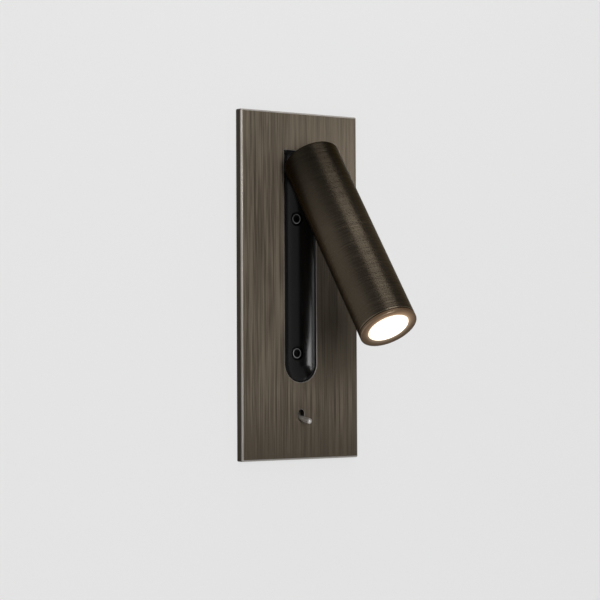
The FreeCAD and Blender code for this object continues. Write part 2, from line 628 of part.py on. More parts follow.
def hinge_block():
    """The plug in the tube's upper end, forked for the arm's eye and cut away for the arm's sweep."""
    body = piece("hinge_block")
    across = f"2 * {SLIDE_RADIUS}"
    beyond = f"{TUBE_RADIUS} + 1"
    pad(body, "plug", "XY", BLOCK_BOTTOM, TUBE_TOP, discs(across, MIDDLE))
    left, right = f"-{CLEVIS_HALF}", CLEVIS_HALF
    cut(body, "eye_room", "YZ", left, right, discs(f"2 * {CLEVIS_RADIUS}", MIDDLE))
    cut(body, "arm_room", "YZ", left, right, outline(
        (f"-{CLEVIS_RADIUS}", "0"), ("0", "0"), ("0", f"-{CLEVIS_RADIUS}"), (beyond, f"-{CLEVIS_RADIUS}"),
        (beyond, f"{HEAD_TOP} + 1"), (f"-{CLEVIS_RADIUS}", f"{HEAD_TOP} + 1")))
    cut(body, "pin_hole", "YZ", f"-{TUBE_RADIUS}", TUBE_RADIUS,
        discs("pin_diameter + 2 * pin_play", MIDDLE))
    cut(body, "head_pocket", "YZ", PIN_SEAT, TUBE_RADIUS, discs("pin_pocket", MIDDLE))
    cut(body, "nut_pocket", "YZ", f"-{TUBE_RADIUS}", f"-{PIN_SEAT}", discs("pin_pocket", MIDDLE))
    cut(body, "wire_hole", "XY", BLOCK_BOTTOM, f"-{CLEVIS_RADIUS} + 1",
        discs("wire_hole", [("0", "wire_hole * 0.6")]))
    cut(body, "cap_threads", "XY", f"{TUBE_TOP} - small_screw_length", TUBE_TOP,
        discs("small_screw + 2 * thread_play", CAP_SCREWS))
    cut(body, "side_thread", "XZ", SIDE_TIP, TUBE_RADIUS,
        discs("side_screw + 2 * thread_play", SIDE_SCREWS[:1]))


def hinge_pin():
    """A shoulder screw through both cheeks of the hinge block, with its nut and spring washer."""
    body = piece("hinge_pin")
    nut_end = f"({PIN_SEAT} + spring_thickness + nut_height)"
    pad(body, "shoulder", "YZ", f"-{PIN_SEAT}", PIN_SEAT, discs("pin_diameter", MIDDLE))
    head_end = f"({PIN_SEAT} + pin_head_height)"
    pad(body, "head", "YZ", PIN_SEAT, head_end, discs("pin_head_diameter", MIDDLE))
    pad(body, "thread", "YZ", f"-{nut_end} - thread_end", f"-{PIN_SEAT}", discs("screw_diameter", MIDDLE))
    cut(body, "socket", "YZ", f"{head_end} - socket_depth", head_end, hexagons("socket_across", MIDDLE))
    washer = piece("spring_washer")
    pad(washer, "ring", "YZ", f"-{PIN_SEAT} - spring_thickness", f"-{PIN_SEAT}",
        rings("spring_diameter", "screw_diameter + 4 * thread_play", MIDDLE))
    nut = piece("pin_nut")
    pad(nut, "hexagon", "YZ", f"-{nut_end}", f"-{PIN_SEAT} - spring_thickness",
        together(hexagons("nut_across", MIDDLE), discs("screw_diameter + 2 * thread_play", MIDDLE)))
    rubbing = piece("friction_washers", several=True)
    near = "(arm_width / 2 + washer_play)"
    far = f"({near} + washer_thickness)"
    ring = rings("washer_diameter", "pin_diameter + 2 * pin_play", MIDDLE)
    for name, low, high in (("right", near, far), ("left", f"-{far}", f"-{near}")):
        pad(rubbing, name, "YZ", low, high, ring)


# ---------------------------------------------------------------- tube and light


def lamp_tube():
    body = piece("lamp_tube")
    turn(body, "wall", (BORE_RADIUS, TUBE_BOTTOM), (f"{TUBE_RADIUS} - seam_bevel", TUBE_BOTTOM),
         (TUBE_RADIUS, f"{TUBE_BOTTOM} + seam_bevel"), (TUBE_RADIUS, TUBE_TOP), (BORE_RADIUS, TUBE_TOP))
    cut(body, "arm_slot", "YZ", f"-{CLEVIS_HALF}", CLEVIS_HALF,
        rectangle("0", f"{TUBE_RADIUS} + 1", f"-{CLEVIS_RADIUS}", f"{TUBE_TOP} + 1"))
    top = f"({TUBE_RADIUS} - side_screw_inset)"
    foot = f"({top} - (side_screw_head - side_screw) / 2)"
    cut(body, "screw_holes", "XZ", "0", f"{TUBE_RADIUS} + 1",
        discs("side_screw + 2 * thread_play", SIDE_SCREWS))
    cone(body, "sinks", "Subtractive", "XZ", SIDE_SCREWS, "side_screw / 2 + thread_play", foot,
         f"{TUBE_RADIUS} + 1")
    screws = piece("tube_screws", several=True)
    pad(screws, "shanks", "XZ", SIDE_TIP, top, discs("side_screw", SIDE_SCREWS))
    cone(screws, "heads", "Additive", "XZ", SIDE_SCREWS, "side_screw / 2", foot, top)
    cut(screws, "sockets", "XZ", f"{top} - 1", top, hexagons("socket_across * 0.6", SIDE_SCREWS))


def tube_end_cap():
    body = piece("tube_end_cap")
    pad(body, "disc", "XY", TUBE_TOP, HEAD_TOP, discs("tube_diameter", MIDDLE))
    ease(body, "edge", "Chamfer", "tube_bevel", on_plane("Z", HEAD_TOP))
    cut(body, "arm_slot", "XY", TUBE_TOP, HEAD_TOP,
        rectangle(f"-{CLEVIS_HALF}", CLEVIS_HALF, f"-{CLEVIS_RADIUS}", f"{TUBE_RADIUS} + 1"))
    cut(body, "screw_holes", "XY", TUBE_TOP, HEAD_TOP,
        discs("small_screw + 2 * thread_play", CAP_SCREWS))
    top = f"({HEAD_TOP} - cap_screw_sunk)"
    foot = f"({top} - (small_head - small_screw) / 2)"
    cone(body, "sinks", "Subtractive", "XY", CAP_SCREWS, "small_screw / 2 + thread_play", foot,
         f"{HEAD_TOP} + 0.5")
    screws = piece("end_cap_screws", several=True)
    pad(screws, "shanks", "XY", f"{TUBE_TOP} - small_screw_length + 0.5", top,
        discs("small_screw", CAP_SCREWS))
    cone(screws, "heads", "Additive", "XY", CAP_SCREWS, "small_screw / 2", foot, top)
    cut(screws, "sockets", "XY", f"{top} - 0.7", top, hexagons("small_screw * 0.6", CAP_SCREWS))


def front_ring():
    """The ring round the lens, with the seam where it meets the tube, and the lens in it."""
    opening = f"({TUBE_RADIUS} - ring_width)"
    sleeve = f"({SLIDE_RADIUS} - ring_sleeve_wall)"
    sleeve_top = f"{TUBE_BOTTOM} + ring_sleeve"
    lens_face = f"{HEAD_BOTTOM} + lens_setback"
    body = piece("bezel_ring")
    turn(body, "section", (opening, lens_face), (f"{opening} + ring_dish", HEAD_BOTTOM),
         (TUBE_RADIUS, HEAD_BOTTOM), (TUBE_RADIUS, f"{TUBE_BOTTOM} - seam_bevel"),
         (f"{TUBE_RADIUS} - seam_bevel", TUBE_BOTTOM),
         (SLIDE_RADIUS, TUBE_BOTTOM), (SLIDE_RADIUS, sleeve_top), (sleeve, sleeve_top), (sleeve, LENS_FRONT),
         (opening, LENS_FRONT))
    largest = value(TUBE_RADIUS) - 1e-3
    ease(body, "outer_edge", "Chamfer", "tube_bevel",
         lambda edge: on_plane("Z", HEAD_BOTTOM)(edge) and edge.Curve.Radius > largest)
    lens = piece("lens")
    step = f"({opening} - lens_play)"
    turn(lens, "section", ("0", lens_face), (step, lens_face), (step, LENS_FRONT),
         (LENS_RADIUS, LENS_FRONT), (LENS_RADIUS, LENS_BACK), ("0", LENS_BACK))


def light_source():
    """Reflector, chip and board, clamped with a thermal pad to the finned heat sink."""
    rear = "(emitter_diameter / 2 + 0.4)"
    mouth = f"({LENS_RADIUS} - reflector_wall - lens_play)"
    reflector = piece("reflector")
    turn(reflector, "cone", (rear, BOARD_FRONT), (mouth, LENS_BACK), (f"{mouth} + reflector_wall", LENS_BACK),
         (f"{rear} + reflector_wall", BOARD_FRONT))
    emitter = piece("led_emitter")
    pad(emitter, "chip", "XY", f"{BOARD_FRONT} - emitter_height", BOARD_FRONT,
        discs("emitter_diameter", MIDDLE))
    for label, low, high in (("led_board", BOARD_FRONT, BOARD_BACK), ("thermal_pad", BOARD_BACK, SINK_FRONT)):
        body = piece(label)
        pad(body, "disc", "XY", low, high, discs(f"2 * {BOARD_RADIUS}", MIDDLE))
        cut(body, "screw_holes", "XY", low, high, discs("small_screw * 1.1", BOARD_SCREWS))
        cut(body, "wire_hole", "XY", low, high, discs("groove_width", BOARD_WIRES))
    screws = piece("board_screws", several=True)
    pad(screws, "heads", "XY", f"{BOARD_FRONT} - small_head_height", BOARD_FRONT,
        discs("small_head", BOARD_SCREWS))
    pad(screws, "shanks", "XY", BOARD_FRONT, f"{BOARD_FRONT} + board_screw_length",
        discs("small_screw", BOARD_SCREWS))
    heat_sink()


def heat_sink():
    """A solid end with a core and straight fins that stop just inside the tube's bore."""
    body = piece("heat_sink")
    fins_from = f"({SINK_FRONT} + sink_base)"
    pad(body, "base", "XY", SINK_FRONT, fins_from, discs(f"2 * {SLIDE_RADIUS}", MIDDLE))
    pad(body, "core", "XY", fins_from, SINK_BACK, discs("sink_core", MIDDLE))
    fin = pad(body, "fin", "XY", fins_from, SINK_BACK, rectangle(
        "sink_core / 4", f"{SLIDE_RADIUS} - fin_inset", "-fin_thickness / 2", "fin_thickness / 2"))
    document.recompute()
    pattern = body.newObject("PartDesign::PolarPattern", "heat_sink_fins")
    pattern.Originals = [fin]
    pattern.Axis = (fin.Profile[0], ["N_Axis"])
    pattern.Angle = 360
    pattern.setExpression("Occurrences", bound("fin_count"))
    body.Tip = pattern
    cut(body, "board_threads", "XY", SINK_FRONT, f"{BOARD_FRONT} + board_screw_length + 0.3",
        discs("small_screw + 2 * thread_play", BOARD_SCREWS))
    cut(body, "wire_hole", "XY", SINK_FRONT, fins_from, discs("groove_width", BOARD_WIRES))
    cut(body, "side_thread", "XZ", SIDE_TIP, TUBE_RADIUS,
        discs("side_screw + 2 * thread_play", SIDE_SCREWS[1:]))


# ---------------------------------------------------------------- switch


def toggle_switch():
    bore = "ball_diameter + 2 * ball_play"
    centre = [("0", SWITCH_Z)]
    front = f"({FRONT} + bush_front)"
    bush = piece("switch_bush")
    pad(bush, "tube", "XZ", front, LEDGE_BACK, discs("bush_diameter", centre))
    cut(bush, "mouth", "XZ", front, f"{SWITCH_PIVOT_Y} - ball_diameter * 0.3",
        discs("ball_diameter - 0.3", centre))
    cut(bush, "socket", "XZ", f"{SWITCH_PIVOT_Y} - ball_diameter * 0.3", LEDGE_BACK, discs(bore, centre))
    nut = piece("switch_nut")
    pad(nut, "hexagon", "XZ", f"{LEDGE_FRONT} - switch_nut_height", LEDGE_FRONT,
        together(hexagons("switch_nut_across", centre), discs("bush_diameter + 2 * thread_play", centre)))
    body = piece("switch_body")
    back = f"({LEDGE_BACK} + switch_length)"
    pad(body, "case", "XZ", LEDGE_BACK, back,
        middle_rectangle("(switch_width / 2)", "(switch_height / 2)", b=SWITCH_Z))
    cut(body, "socket", "XZ", LEDGE_BACK, f"{SWITCH_PIVOT_Y} + lever_tail + 0.8", discs(bore, centre))
    blades = piece("switch_terminals", several=True)
    for name, drop in (("upper", "-terminal_pitch"), ("middle", "0"), ("lower", "terminal_pitch")):
        pad(blades, name, "XZ", back, f"{back} + terminal_length",
            middle_rectangle("(terminal_width / 2)", "(terminal_thickness / 2)", b=f"{SWITCH_Z} - {drop}"))
    switch_lever()


def switch_lever():
    """The bat: a round tip, a slightly thinner neck, a ball to turn on and a short tail."""
    body = piece("switch_lever")
    tip, neck, ball = "(lever_diameter / 2)", "(lever_neck / 2)", "(ball_diameter / 2)"
    rise = f"sqrt({ball}^2 - {neck}^2)"
    tip_centre = f"({tip} - lever_reach)"
    turn(body, "section", ("0", "-lever_reach"), (tip, tip_centre, "0", tip_centre, "left"),
         (neck, f"-{rise}"), (neck, rise, "0", "0", "left"), (neck, "lever_tail"), ("0", "lever_tail"))
    place(body, SWITCH_PIVOT_Y, SWITCH_Z, tilt="90 - lever_tilt")


# ---------------------------------------------------------------- wall box


def back_box():
    """A folded steel box in the wall, open towards the room."""
    body = piece("back_box")
    pad(body, "block", "XZ", "box_front", "box_depth", middle_rectangle(BOX_HALF, BOX_TALL))
    ease(body, "corners", "Fillet", "box_corner", lambda edge: edge.BoundBox.YLength > 1e-3)
    cut(body, "inside", "XZ", "box_front", BOX_FLOOR, middle_rectangle(INNER_HALF, INNER_TALL))
    ease(body, "inner_corners", "Fillet", "box_corner - box_wall",
         lambda edge: any(on_plane("X", f"{side}{INNER_HALF}")(edge)
                          and on_plane("Z", f"{end}{INNER_TALL}")(edge)
                          for side in ("", "-") for end in ("", "-")))
    cut(body, "fixing_holes", "XZ", BOX_FLOOR, "box_depth", discs("box_hole", BOX_HOLES))
    cut(body, "threads", "XZ", BOX_FLOOR, "box_depth",
        discs("screw_diameter + 2 * thread_play", DRIVER_SCREWS + MAINS_SCREWS))
    cut(body, "earth_thread", "XZ", BOX_FLOOR, "box_depth", discs("earth_diameter + 2 * thread_play", EARTH))
    cut(body, "cable_entry", "XY", f"-{BOX_TALL}", f"-{INNER_TALL}",
        discs("entry_hole", [("0", "entry_depth")]))


def box_straps():
    """Two bent straps across the box, which the fixing screws pull on."""
    body = piece("box_straps", several=True)
    side, back = f"({INNER_HALF} - strap_thickness)", f"({BED_BACK} + strap_thickness)"
    end = f"({BED_BACK} + strap_tab)"
    for name, _, middle in (("upper",) + FIXINGS[0], ("lower",) + FIXINGS[1]):
        pad(body, name, "XY", f"{middle} - strap_height / 2", f"{middle} + strap_height / 2", outline(
            (f"-{INNER_HALF}", BED_BACK), (INNER_HALF, BED_BACK), (INNER_HALF, end), (side, end),
            (side, back), (f"-{side}", back), (f"-{side}", end), (f"-{INNER_HALF}", end)))
    cut(body, "screw_holes", "XZ", BED_BACK, back, discs("screw_hole", FIXINGS))


def cable_grommet():
    """A soft ring snapped into the cable entry in the box's lower end."""
    body = piece("cable_grommet")
    waist, bore = "(entry_hole / 2 - grommet_play)", "(entry_bore / 2)"
    flange = "(entry_hole / 2 + grommet_flange)"
    half = "(box_wall / 2)"
    end = f"({half} + grommet_flange_height)"
    turn(body, "section", (bore, f"-{end}"), (f"{flange} - 0.8", f"-{end}"), (flange, f"-{half}"),
         (waist, f"-{half}"), (waist, half), (flange, half), (f"{flange} - 0.8", end), (bore, end))
    place(body, "entry_depth", f"-{BOX_TALL} + box_wall / 2")


def led_driver():
    case = piece("driver_case")
    front = f"({BOX_FLOOR} - driver_depth)"
    sheet_front = f"({BOX_FLOOR} - driver_wall)"
    half = "(driver_width / 2)"
    tall = "(driver_height / 2)"
    pad(case, "block", "XZ", front, BOX_FLOOR, middle_rectangle(half, tall, b=DRIVER_Z))
    pad(case, "ears", "XZ", sheet_front, BOX_FLOOR,
        middle_rectangle("(driver_ear_width / 2)", "(driver_height / 2 + driver_ear)", b=DRIVER_Z))
    cut(case, "inside", "XZ", front, sheet_front,
        middle_rectangle(f"({half} - driver_wall)", f"({tall} - driver_wall)", b=DRIVER_Z))
    cut(case, "screw_holes", "XZ", sheet_front, BOX_FLOOR, discs("screw_hole", DRIVER_SCREWS))
    board_back = f"({sheet_front} - 3)"
    board_front = f"({board_back} - driver_wall)"
    pad(case, "posts", "XZ", board_back, sheet_front, discs("5", DRIVER_POSTS))
    cover = piece("driver_cover")
    pad(cover, "lid", "XZ", f"{front} - driver_cover_thickness", front,
        middle_rectangle(half, tall, b=DRIVER_Z))
    board = piece("driver_board")
    pad(board, "board", "XZ", board_front, board_back,
        middle_rectangle(f"({half} - driver_wall - 1)", f"({tall} - driver_wall - 1)", b=DRIVER_Z))
    core = piece("driver_transformer")
    pad(core, "core", "XZ", f"{board_front} - driver_core * 0.7", board_front,
        middle_rectangle("(driver_core / 2)", "(driver_core / 2)", b=f"({DRIVER_Z} + driver_core / 2)"))
    pad(core, "winding", "XZ", f"{board_front} - driver_core * 0.6", f"{board_front} - driver_core * 0.1",
        middle_rectangle("(driver_core * 0.35)", "(driver_core * 0.62)", b=f"({DRIVER_Z} + driver_core / 2)"))
    capacitors = piece("driver_capacitors", several=True)
    pad(capacitors, "cans", "XZ", f"{board_front} - driver_core * 0.65", board_front,
        discs("driver_core / 2", [("-driver_core * 0.6", f"{DRIVER_Z} - driver_core"),
                                  ("driver_core * 0.6", f"{DRIVER_Z} - driver_core")]))
    screws = piece("driver_screws", several=True)
    pad(screws, "heads", "XZ", f"{sheet_front} - head_height * 0.6", sheet_front,
        discs("head_diameter", DRIVER_SCREWS))
    pad(screws, "shanks", "XZ", sheet_front, "box_depth", discs("screw_diameter", DRIVER_SCREWS))


def mains_terminals():
    block = piece("terminal_block")
    front = f"({BOX_FLOOR} - mains_depth)"
    half = "(mains_width / 2)"
    low, high = f"({MAINS_Z} - mains_height / 2)", f"({MAINS_Z} + mains_height / 2)"
    floor = f"({front} + mains_depth / 2)"
    seat = f"({front} + mains_depth / 4)"
    pad(block, "body", "XZ", front, BOX_FLOOR, rectangle(f"-{half}", half, low, high))
    wire_y = f"({BOX_FLOOR} - mains_depth * 0.35)"
    cut(block, "wire_bores", "XY", low, high, together(
        *[middle_rectangle("(pole_bore / 2)", "(pole_bore / 2)", a=x, b=wire_y) for x, _ in POLES[:3]]))
    cut(block, "screw_wells", "XZ", front, floor, discs("pole_screw + 0.4", POLES))
    cut(block, "fixing_wells", "XZ", front, seat, discs("head_diameter + 0.5", MAINS_SCREWS))
    cut(block, "fixing_holes", "XZ", seat, BOX_FLOOR, discs("screw_hole", MAINS_SCREWS))
    screws = piece("terminal_screws", several=True)
    pad(screws, "screws", "XZ", f"{front} + 1.5", floor, discs("pole_screw", POLES))
    fixings = piece("block_screws", several=True)
    pad(fixings, "heads", "XZ", f"{seat} - head_height", seat, discs("head_diameter", MAINS_SCREWS))
    pad(fixings, "shanks", "XZ", seat, "box_depth", discs("screw_diameter", MAINS_SCREWS))
    washer = piece("earth_washer")
    pad(washer, "ring", "XZ", f"{BOX_FLOOR} - spring_thickness", BOX_FLOOR,
        rings("earth_washer", "earth_diameter + 0.3", EARTH))
    screw = piece("earth_screw")
    seat = f"({BOX_FLOOR} - spring_thickness)"
    pad(screw, "head", "XZ", f"{seat} - earth_head_height", seat, discs("earth_head", EARTH))
    pad(screw, "shank", "XZ", seat, "box_depth", discs("earth_diameter", EARTH))
    cut(screw, "slot", "XZ", f"{seat} - earth_head_height", f"{seat} - earth_head_height / 2",
        middle_rectangle("(earth_head * 0.6)", "0.5", a=EARTH[0][0], b=EARTH[0][1]))


# ---------------------------------------------------------------- build, check, write


def build():
    front_plate()
    cradle_trough()
    wall_fastening()
    hinge_arm()
    fixed = len(pieces)
    hinge_block()
    hinge_pin()
    lamp_tube()
    tube_end_cap()
    front_ring()
    light_source()
    for body in pieces[fixed:]:
        place_on_head(body)
    toggle_switch()
    back_box()
    box_straps()
    cable_grommet()
    led_driver()
    mains_terminals()
    document.recompute()


def problems():
    """What failed to build: a feature in error, a cut that cut nothing, or a shape that isn't sound."""
    found = []
    for item in document.Objects:
        if {"Invalid", "Error"} & set(item.State):
            found.append(f"{item.Name} is {item.State}")
        elif item.TypeId in ("PartDesign::Pocket", "PartDesign::Groove"):
            before = item.BaseFeature.Shape.Volume
            if not item.Shape.Volume < before - 1e-6:
                found.append(f"{item.Name} cuts nothing")
    for body in pieces:
        if body.Shape.isNull() or not body.Shape.isValid() or not body.Shape.Solids:
            found.append(f"{body.Label} has no sound shape")
    return found


def write():
    os.makedirs("parts", exist_ok=True)
    for body in pieces:
        body.Shape.exportStep(f"parts/{body.Label}.step")
        box = body.Shape.BoundBox
        reach = ((box.XMin, box.XMax), (box.YMin, box.YMax), (box.ZMin, box.ZMax))
        print(f"{body.Label:20s} {len(body.Shape.Solids)} {body.Shape.Volume:10.1f} mm3",
              *(f"{low:8.2f} {high:7.2f}" for low, high in reach))


build()
faults = problems()
if faults:
    sys.exit("\n".join(faults))
write()
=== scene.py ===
"""The looks of a recessed bedside reading lamp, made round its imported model.

The frame is in metres: +Z is up, the room is towards -Y and the wall's face is at y = 0. Shapes, and places
on them, are given in millimetres and scaled once. Lamps and the camera are in metres. The head's pieces are
drawn upright about the hinge's pivot and then tilted with it.
"""
import json
import math

import bmesh
import bpy
from mathutils import Matrix, Vector


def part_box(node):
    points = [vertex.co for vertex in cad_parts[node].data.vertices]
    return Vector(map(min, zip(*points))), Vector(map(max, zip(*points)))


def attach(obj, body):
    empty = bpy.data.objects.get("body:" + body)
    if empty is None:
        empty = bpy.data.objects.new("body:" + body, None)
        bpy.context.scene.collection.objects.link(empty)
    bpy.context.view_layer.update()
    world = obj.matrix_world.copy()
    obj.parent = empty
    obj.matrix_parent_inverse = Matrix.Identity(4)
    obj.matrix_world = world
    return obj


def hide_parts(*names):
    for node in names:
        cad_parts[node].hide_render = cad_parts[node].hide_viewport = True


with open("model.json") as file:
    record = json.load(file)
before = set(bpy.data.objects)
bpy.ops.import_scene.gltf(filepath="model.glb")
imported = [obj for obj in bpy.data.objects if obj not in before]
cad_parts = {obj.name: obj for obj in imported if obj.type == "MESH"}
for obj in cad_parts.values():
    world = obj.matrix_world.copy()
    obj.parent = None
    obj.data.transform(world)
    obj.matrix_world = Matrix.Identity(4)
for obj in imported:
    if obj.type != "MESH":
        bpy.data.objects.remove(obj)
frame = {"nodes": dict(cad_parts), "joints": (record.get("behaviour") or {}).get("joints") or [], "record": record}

MM = 0.001
SCENE = bpy.context.scene
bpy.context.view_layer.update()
JOINTS = {joint["name"]: joint for joint in frame["joints"]}

# The record's colours, with the bronze and the nickel as they look under this scene's lamps.
COLOURS = {slot["slot"]: slot["base_color"] for slot in frame["record"]["materials"]}
COLOURS["bronze_plate"] = (0.182, 0.151, 0.114)
COLOURS["bronze_tube"] = (0.068, 0.055, 0.040)
COLOURS["lever_nickel"] = (0.62, 0.59, 0.56)
# The painted highlight on the plate's rounded edges, at its rim and round its openings.
EDGE_HIGHLIGHT = (0.52, 0.485, 0.445)

# ---------------------------------------------------------------- sizes, in millimetres

TURNS = 160             # facets round a large turned piece
FINE_TURNS = 64         # facets round a small turned piece
BED_TURNS = 240         # facets round the bed's half pipe
ROUND_STEPS = 8         # facets across a rounded edge
SEAM_STEPS = 4          # facets across the smallest rounded edges
SHARP = math.radians(32)
SAME_POINT = 1e-7       # metres within which two points of a mesh are one
OVERLAP = 0.2           # how far solids that are joined run into each other
PAST = 1.0              # how far a cutter runs past what it cuts


def corners(node):
    """The lowest and highest corner of a node of the model, in millimetres."""
    low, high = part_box(node)
    return low / MM, high / MM


# Plate: a shallow box that is open behind, with a slot, a hole for the switch and four studs.
PLATE_LOW, PLATE_HIGH = corners("front_plate")
PLATE_HALF_WIDTH = (PLATE_HIGH.x - PLATE_LOW.x) / 2
PLATE_HALF_HEIGHT = (PLATE_HIGH.z - PLATE_LOW.z) / 2
FRONT = PLATE_LOW.y
PLATE_WALL = 2.0
PLATE_BACK = FRONT + PLATE_WALL
PLATE_ROUND = 1.1
PLATE_CORNER = 0.8
HOLLOW_CORNER = 0.5
SLOT_HALF = 10.0
SLOT_LENGTH = 120.0
SLOT_TOP = PLATE_HALF_HEIGHT - 20.0
SLOT_END = SLOT_TOP - SLOT_LENGTH
SLOT_CENTRE = SLOT_END + SLOT_HALF      # height of the round end's middle
SLOT_ROUND = 0.5
SWITCH_Z = JOINTS["switch_toggle"]["pos_m"][2] / MM
SWITCH_HOLE_WIDTH = 3.8
SWITCH_HOLE_HEIGHT = 6.3
SWITCH_HOLE_ROUND = 0.15
STUDS = [(x, z) for x in (-18, 18) for z in (62, -44)]
STUD_RADIUS = 1.5
STUD_ROOT = 0.5         # how deep a stud starts in the plate
STUD_LENGTH = 6.1

# Bed: a nose in the slot, a flange behind the plate, and a shell, hinge block, ledge and bosses behind that.
BED_LOW, BED_HIGH = corners("cradle_trough")
BED_BACK = BED_HIGH.y
BED_GAP = 0.3           # between the nose and the slot
NOSE_FRONT = FRONT + 0.6
PIPE_RADIUS = 16.0
PIPE_TOP = SLOT_TOP - 1.5
FLANGE_BACK = PLATE_BACK + 2.0
FLANGE_DROP = 6.0       # how far the flange goes on below the slot
SHELL_HALF = 12.0
SHELL_BACK = FLANGE_BACK + 1.5
SHELL_MORE = 2.0        # how far the shell goes on past the slot's ends
HINGE_HALF = 12.5
HINGE_RISE = 8.0
WINDOW_HALF = 4.4
WINDOW_RISE = 5.0
LEDGE_HALF = 9.0
LEDGE_FRONT = 0.7
LEDGE_BACK = 2.2
LEDGE_LOW = SWITCH_Z - 8.6
LEDGE_TOP = SLOT_END + 2.0
RIB_HALF = 0.75
RIBS = (-LEDGE_HALF + RIB_HALF, LEDGE_HALF - RIB_HALF)
BUSH_HOLE = 3.05
BUSH_DEPTH = 4.0
FIXINGS = {"upper_screw": 35.0, "lower_screw": -35.0}
BOSS_RADIUS = 5.75
COUNTERBORE = 3.75
SCREW_SEAT = 2.1        # thickness of the bed under a fixing screw's head
SCREW_DEPTH = 12.0      # of the fixing screws' holes, from the plate's face
M3_HOLE = 1.7
STUD_HOLE_FRONT = -4.0
STUD_HOLE_DEPTH = 5.0

# Head, upright: heights are from the hinge's pivot.
PIVOT = Vector(JOINTS["head_tilt"]["pos_m"]) / MM
TILT = -math.radians(JOINTS["head_tilt"]["range_deg"][0])
HEAD = Matrix.Translation(PIVOT * MM) @ Matrix.Rotation(TILT, 4, (-1, 0, 0))
TUBE_RADIUS = corners("lamp_tube")[1].x
TUBE_WALL = 1.5
HEAD_TOP = 5.0
TUBE_TOP = 3.5
TUBE_BOTTOM = -102.0
HEAD_BOTTOM = -104.0
HEAD_ROUND = 1.0
SEAM_ROUND = 0.3
CAP_SEAM = 0.08
CLEVIS_HALF = 5.1
CLEVIS_RADIUS = 5.2
SIDE_SCREWS = (-13.0, -82.7)
SIDE_SCREW_HOLE = 1.3
SIDE_SCREW_HEAD = 2.35
RING_ROUND = 0.7
RING_OPENING = TUBE_RADIUS - 4.1
RING_LIP = HEAD_BOTTOM + 1.2
RING_DISH = 1.4         # width of the slope from the ring's face down to the lens
LENS_FACE = HEAD_BOTTOM + 0.5
LENS_BACK = RING_LIP + 2.4
LENS_RADIUS = corners("lens")[1].x

# ---------------------------------------------------------------- meshes

TO_WALL = Matrix.Rotation(math.radians(-90), 4, "X")    # turns +Z to +Y
TO_ROOM = Matrix.Rotation(math.radians(90), 4, "X")     # turns +Z to -Y


def at(x, y, z):
    """A move to a place in millimetres."""
    return Matrix.Translation(Vector((x, y, z)) * MM)


def mesh_object(name, shape, place=Matrix()):
    """An object from a bmesh in millimetres, with its place in the object's own matrix."""
    bmesh.ops.recalc_face_normals(shape, faces=shape.faces)
    shape.transform(Matrix.Scale(MM, 4))
    mesh = bpy.data.meshes.new(name)
    shape.to_mesh(mesh)
    shape.free()
    thing = bpy.data.objects.new(name, mesh)
    SCENE.collection.objects.link(thing)
    thing.matrix_world = place
    bpy.context.view_layer.update()
    return thing


def loft(rings, name="cutter"):
    """A closed solid through rings of equally many points."""
    shape = bmesh.new()
    loops = [[shape.verts.new(point) for point in ring] for ring in rings]
    count = len(rings[0])
    for low, high in zip(loops, loops[1:]):
        for side in range(count):
            follow = (side + 1) % count
            shape.faces.new((low[side], low[follow], high[follow], high[side]))
    shape.faces.new(loops[0][::-1])
    shape.faces.new(loops[-1])
    return mesh_object(name, shape)


def along_y(outline, places):
    """Rings of an outline in X and Z: for each (y, margin), the outline at that margin."""
    return [[Vector((x, y, z)) for x, z in outline(margin)] for y, margin in places]


def lathe(profile, name="cutter", turns=TURNS, place=Matrix()):
    """Turns a closed outline of (radius, height) about Z. Points on the axis are shared."""
    shape = bmesh.new()
    angles = [2 * math.pi * step / turns for step in range(turns)]
    columns = []
    for radius, height in profile:
        if radius == 0:
            column = [shape.verts.new((0, 0, height))] * turns
        else:
            points = [(radius * math.cos(a), radius * math.sin(a), height) for a in angles]
            column = [shape.verts.new(point) for point in points]
        columns.append(column)
    for here, there in zip(columns, columns[1:] + columns[:1]):
        for step in range(turns):
            follow = (step + 1) % turns
            ring = dict.fromkeys((here[step], here[follow], there[follow], there[step]))
            if len(ring) > 2:
                shape.faces.new(ring)
    return mesh_object(name, shape, place)


def block(low, high):
    """A box between two corners."""
    shape = bmesh.new()
    bmesh.ops.create_cube(shape, size=1)
    size = Vector(high) - Vector(low)
    middle = (Vector(high) + Vector(low)) / 2
    shape.transform(Matrix.Translation(middle) @ Matrix.Diagonal((*size, 1)))
    return mesh_object("cutter", shape)


def rod(radius, start, length):
    """A plain cylinder from a point towards the wall."""
    profile = ((0, 0), (radius, 0), (radius, length), (0, length))
    return lathe(profile, turns=FINE_TURNS, place=at(*start) @ TO_WALL)


def combine(piece, others, operation):
    """Works other solids into a piece one by one, and removes them."""
    for other in others:
        modifier = piece.modifiers.new("combine", "BOOLEAN")
        modifier.operation = operation
        modifier.solver = "EXACT"
        modifier.object = other
        bpy.context.view_layer.update()
        result = piece.evaluated_get(bpy.context.evaluated_depsgraph_get())
        done = bpy.data.meshes.new_from_object(result)
        piece.modifiers.clear()
        piece.data = done
        bpy.data.objects.remove(other)


def cut(piece, *others):
    """Cuts other solids out of a piece."""
    combine(piece, others, "DIFFERENCE")


def join(piece, *others):
    """Joins other solids to a piece."""
    combine(piece, others, "UNION")


def rounded(radius, start, stop, centre=(0, 0), steps=ROUND_STEPS):
    """Points round part of a circle, from one angle to another, in degrees."""
    angles = [math.radians(start + (stop - start) * step / steps) for step in range(steps + 1)]
    return [(centre[0] + radius * math.cos(a), centre[1] + radius * math.sin(a)) for a in angles]


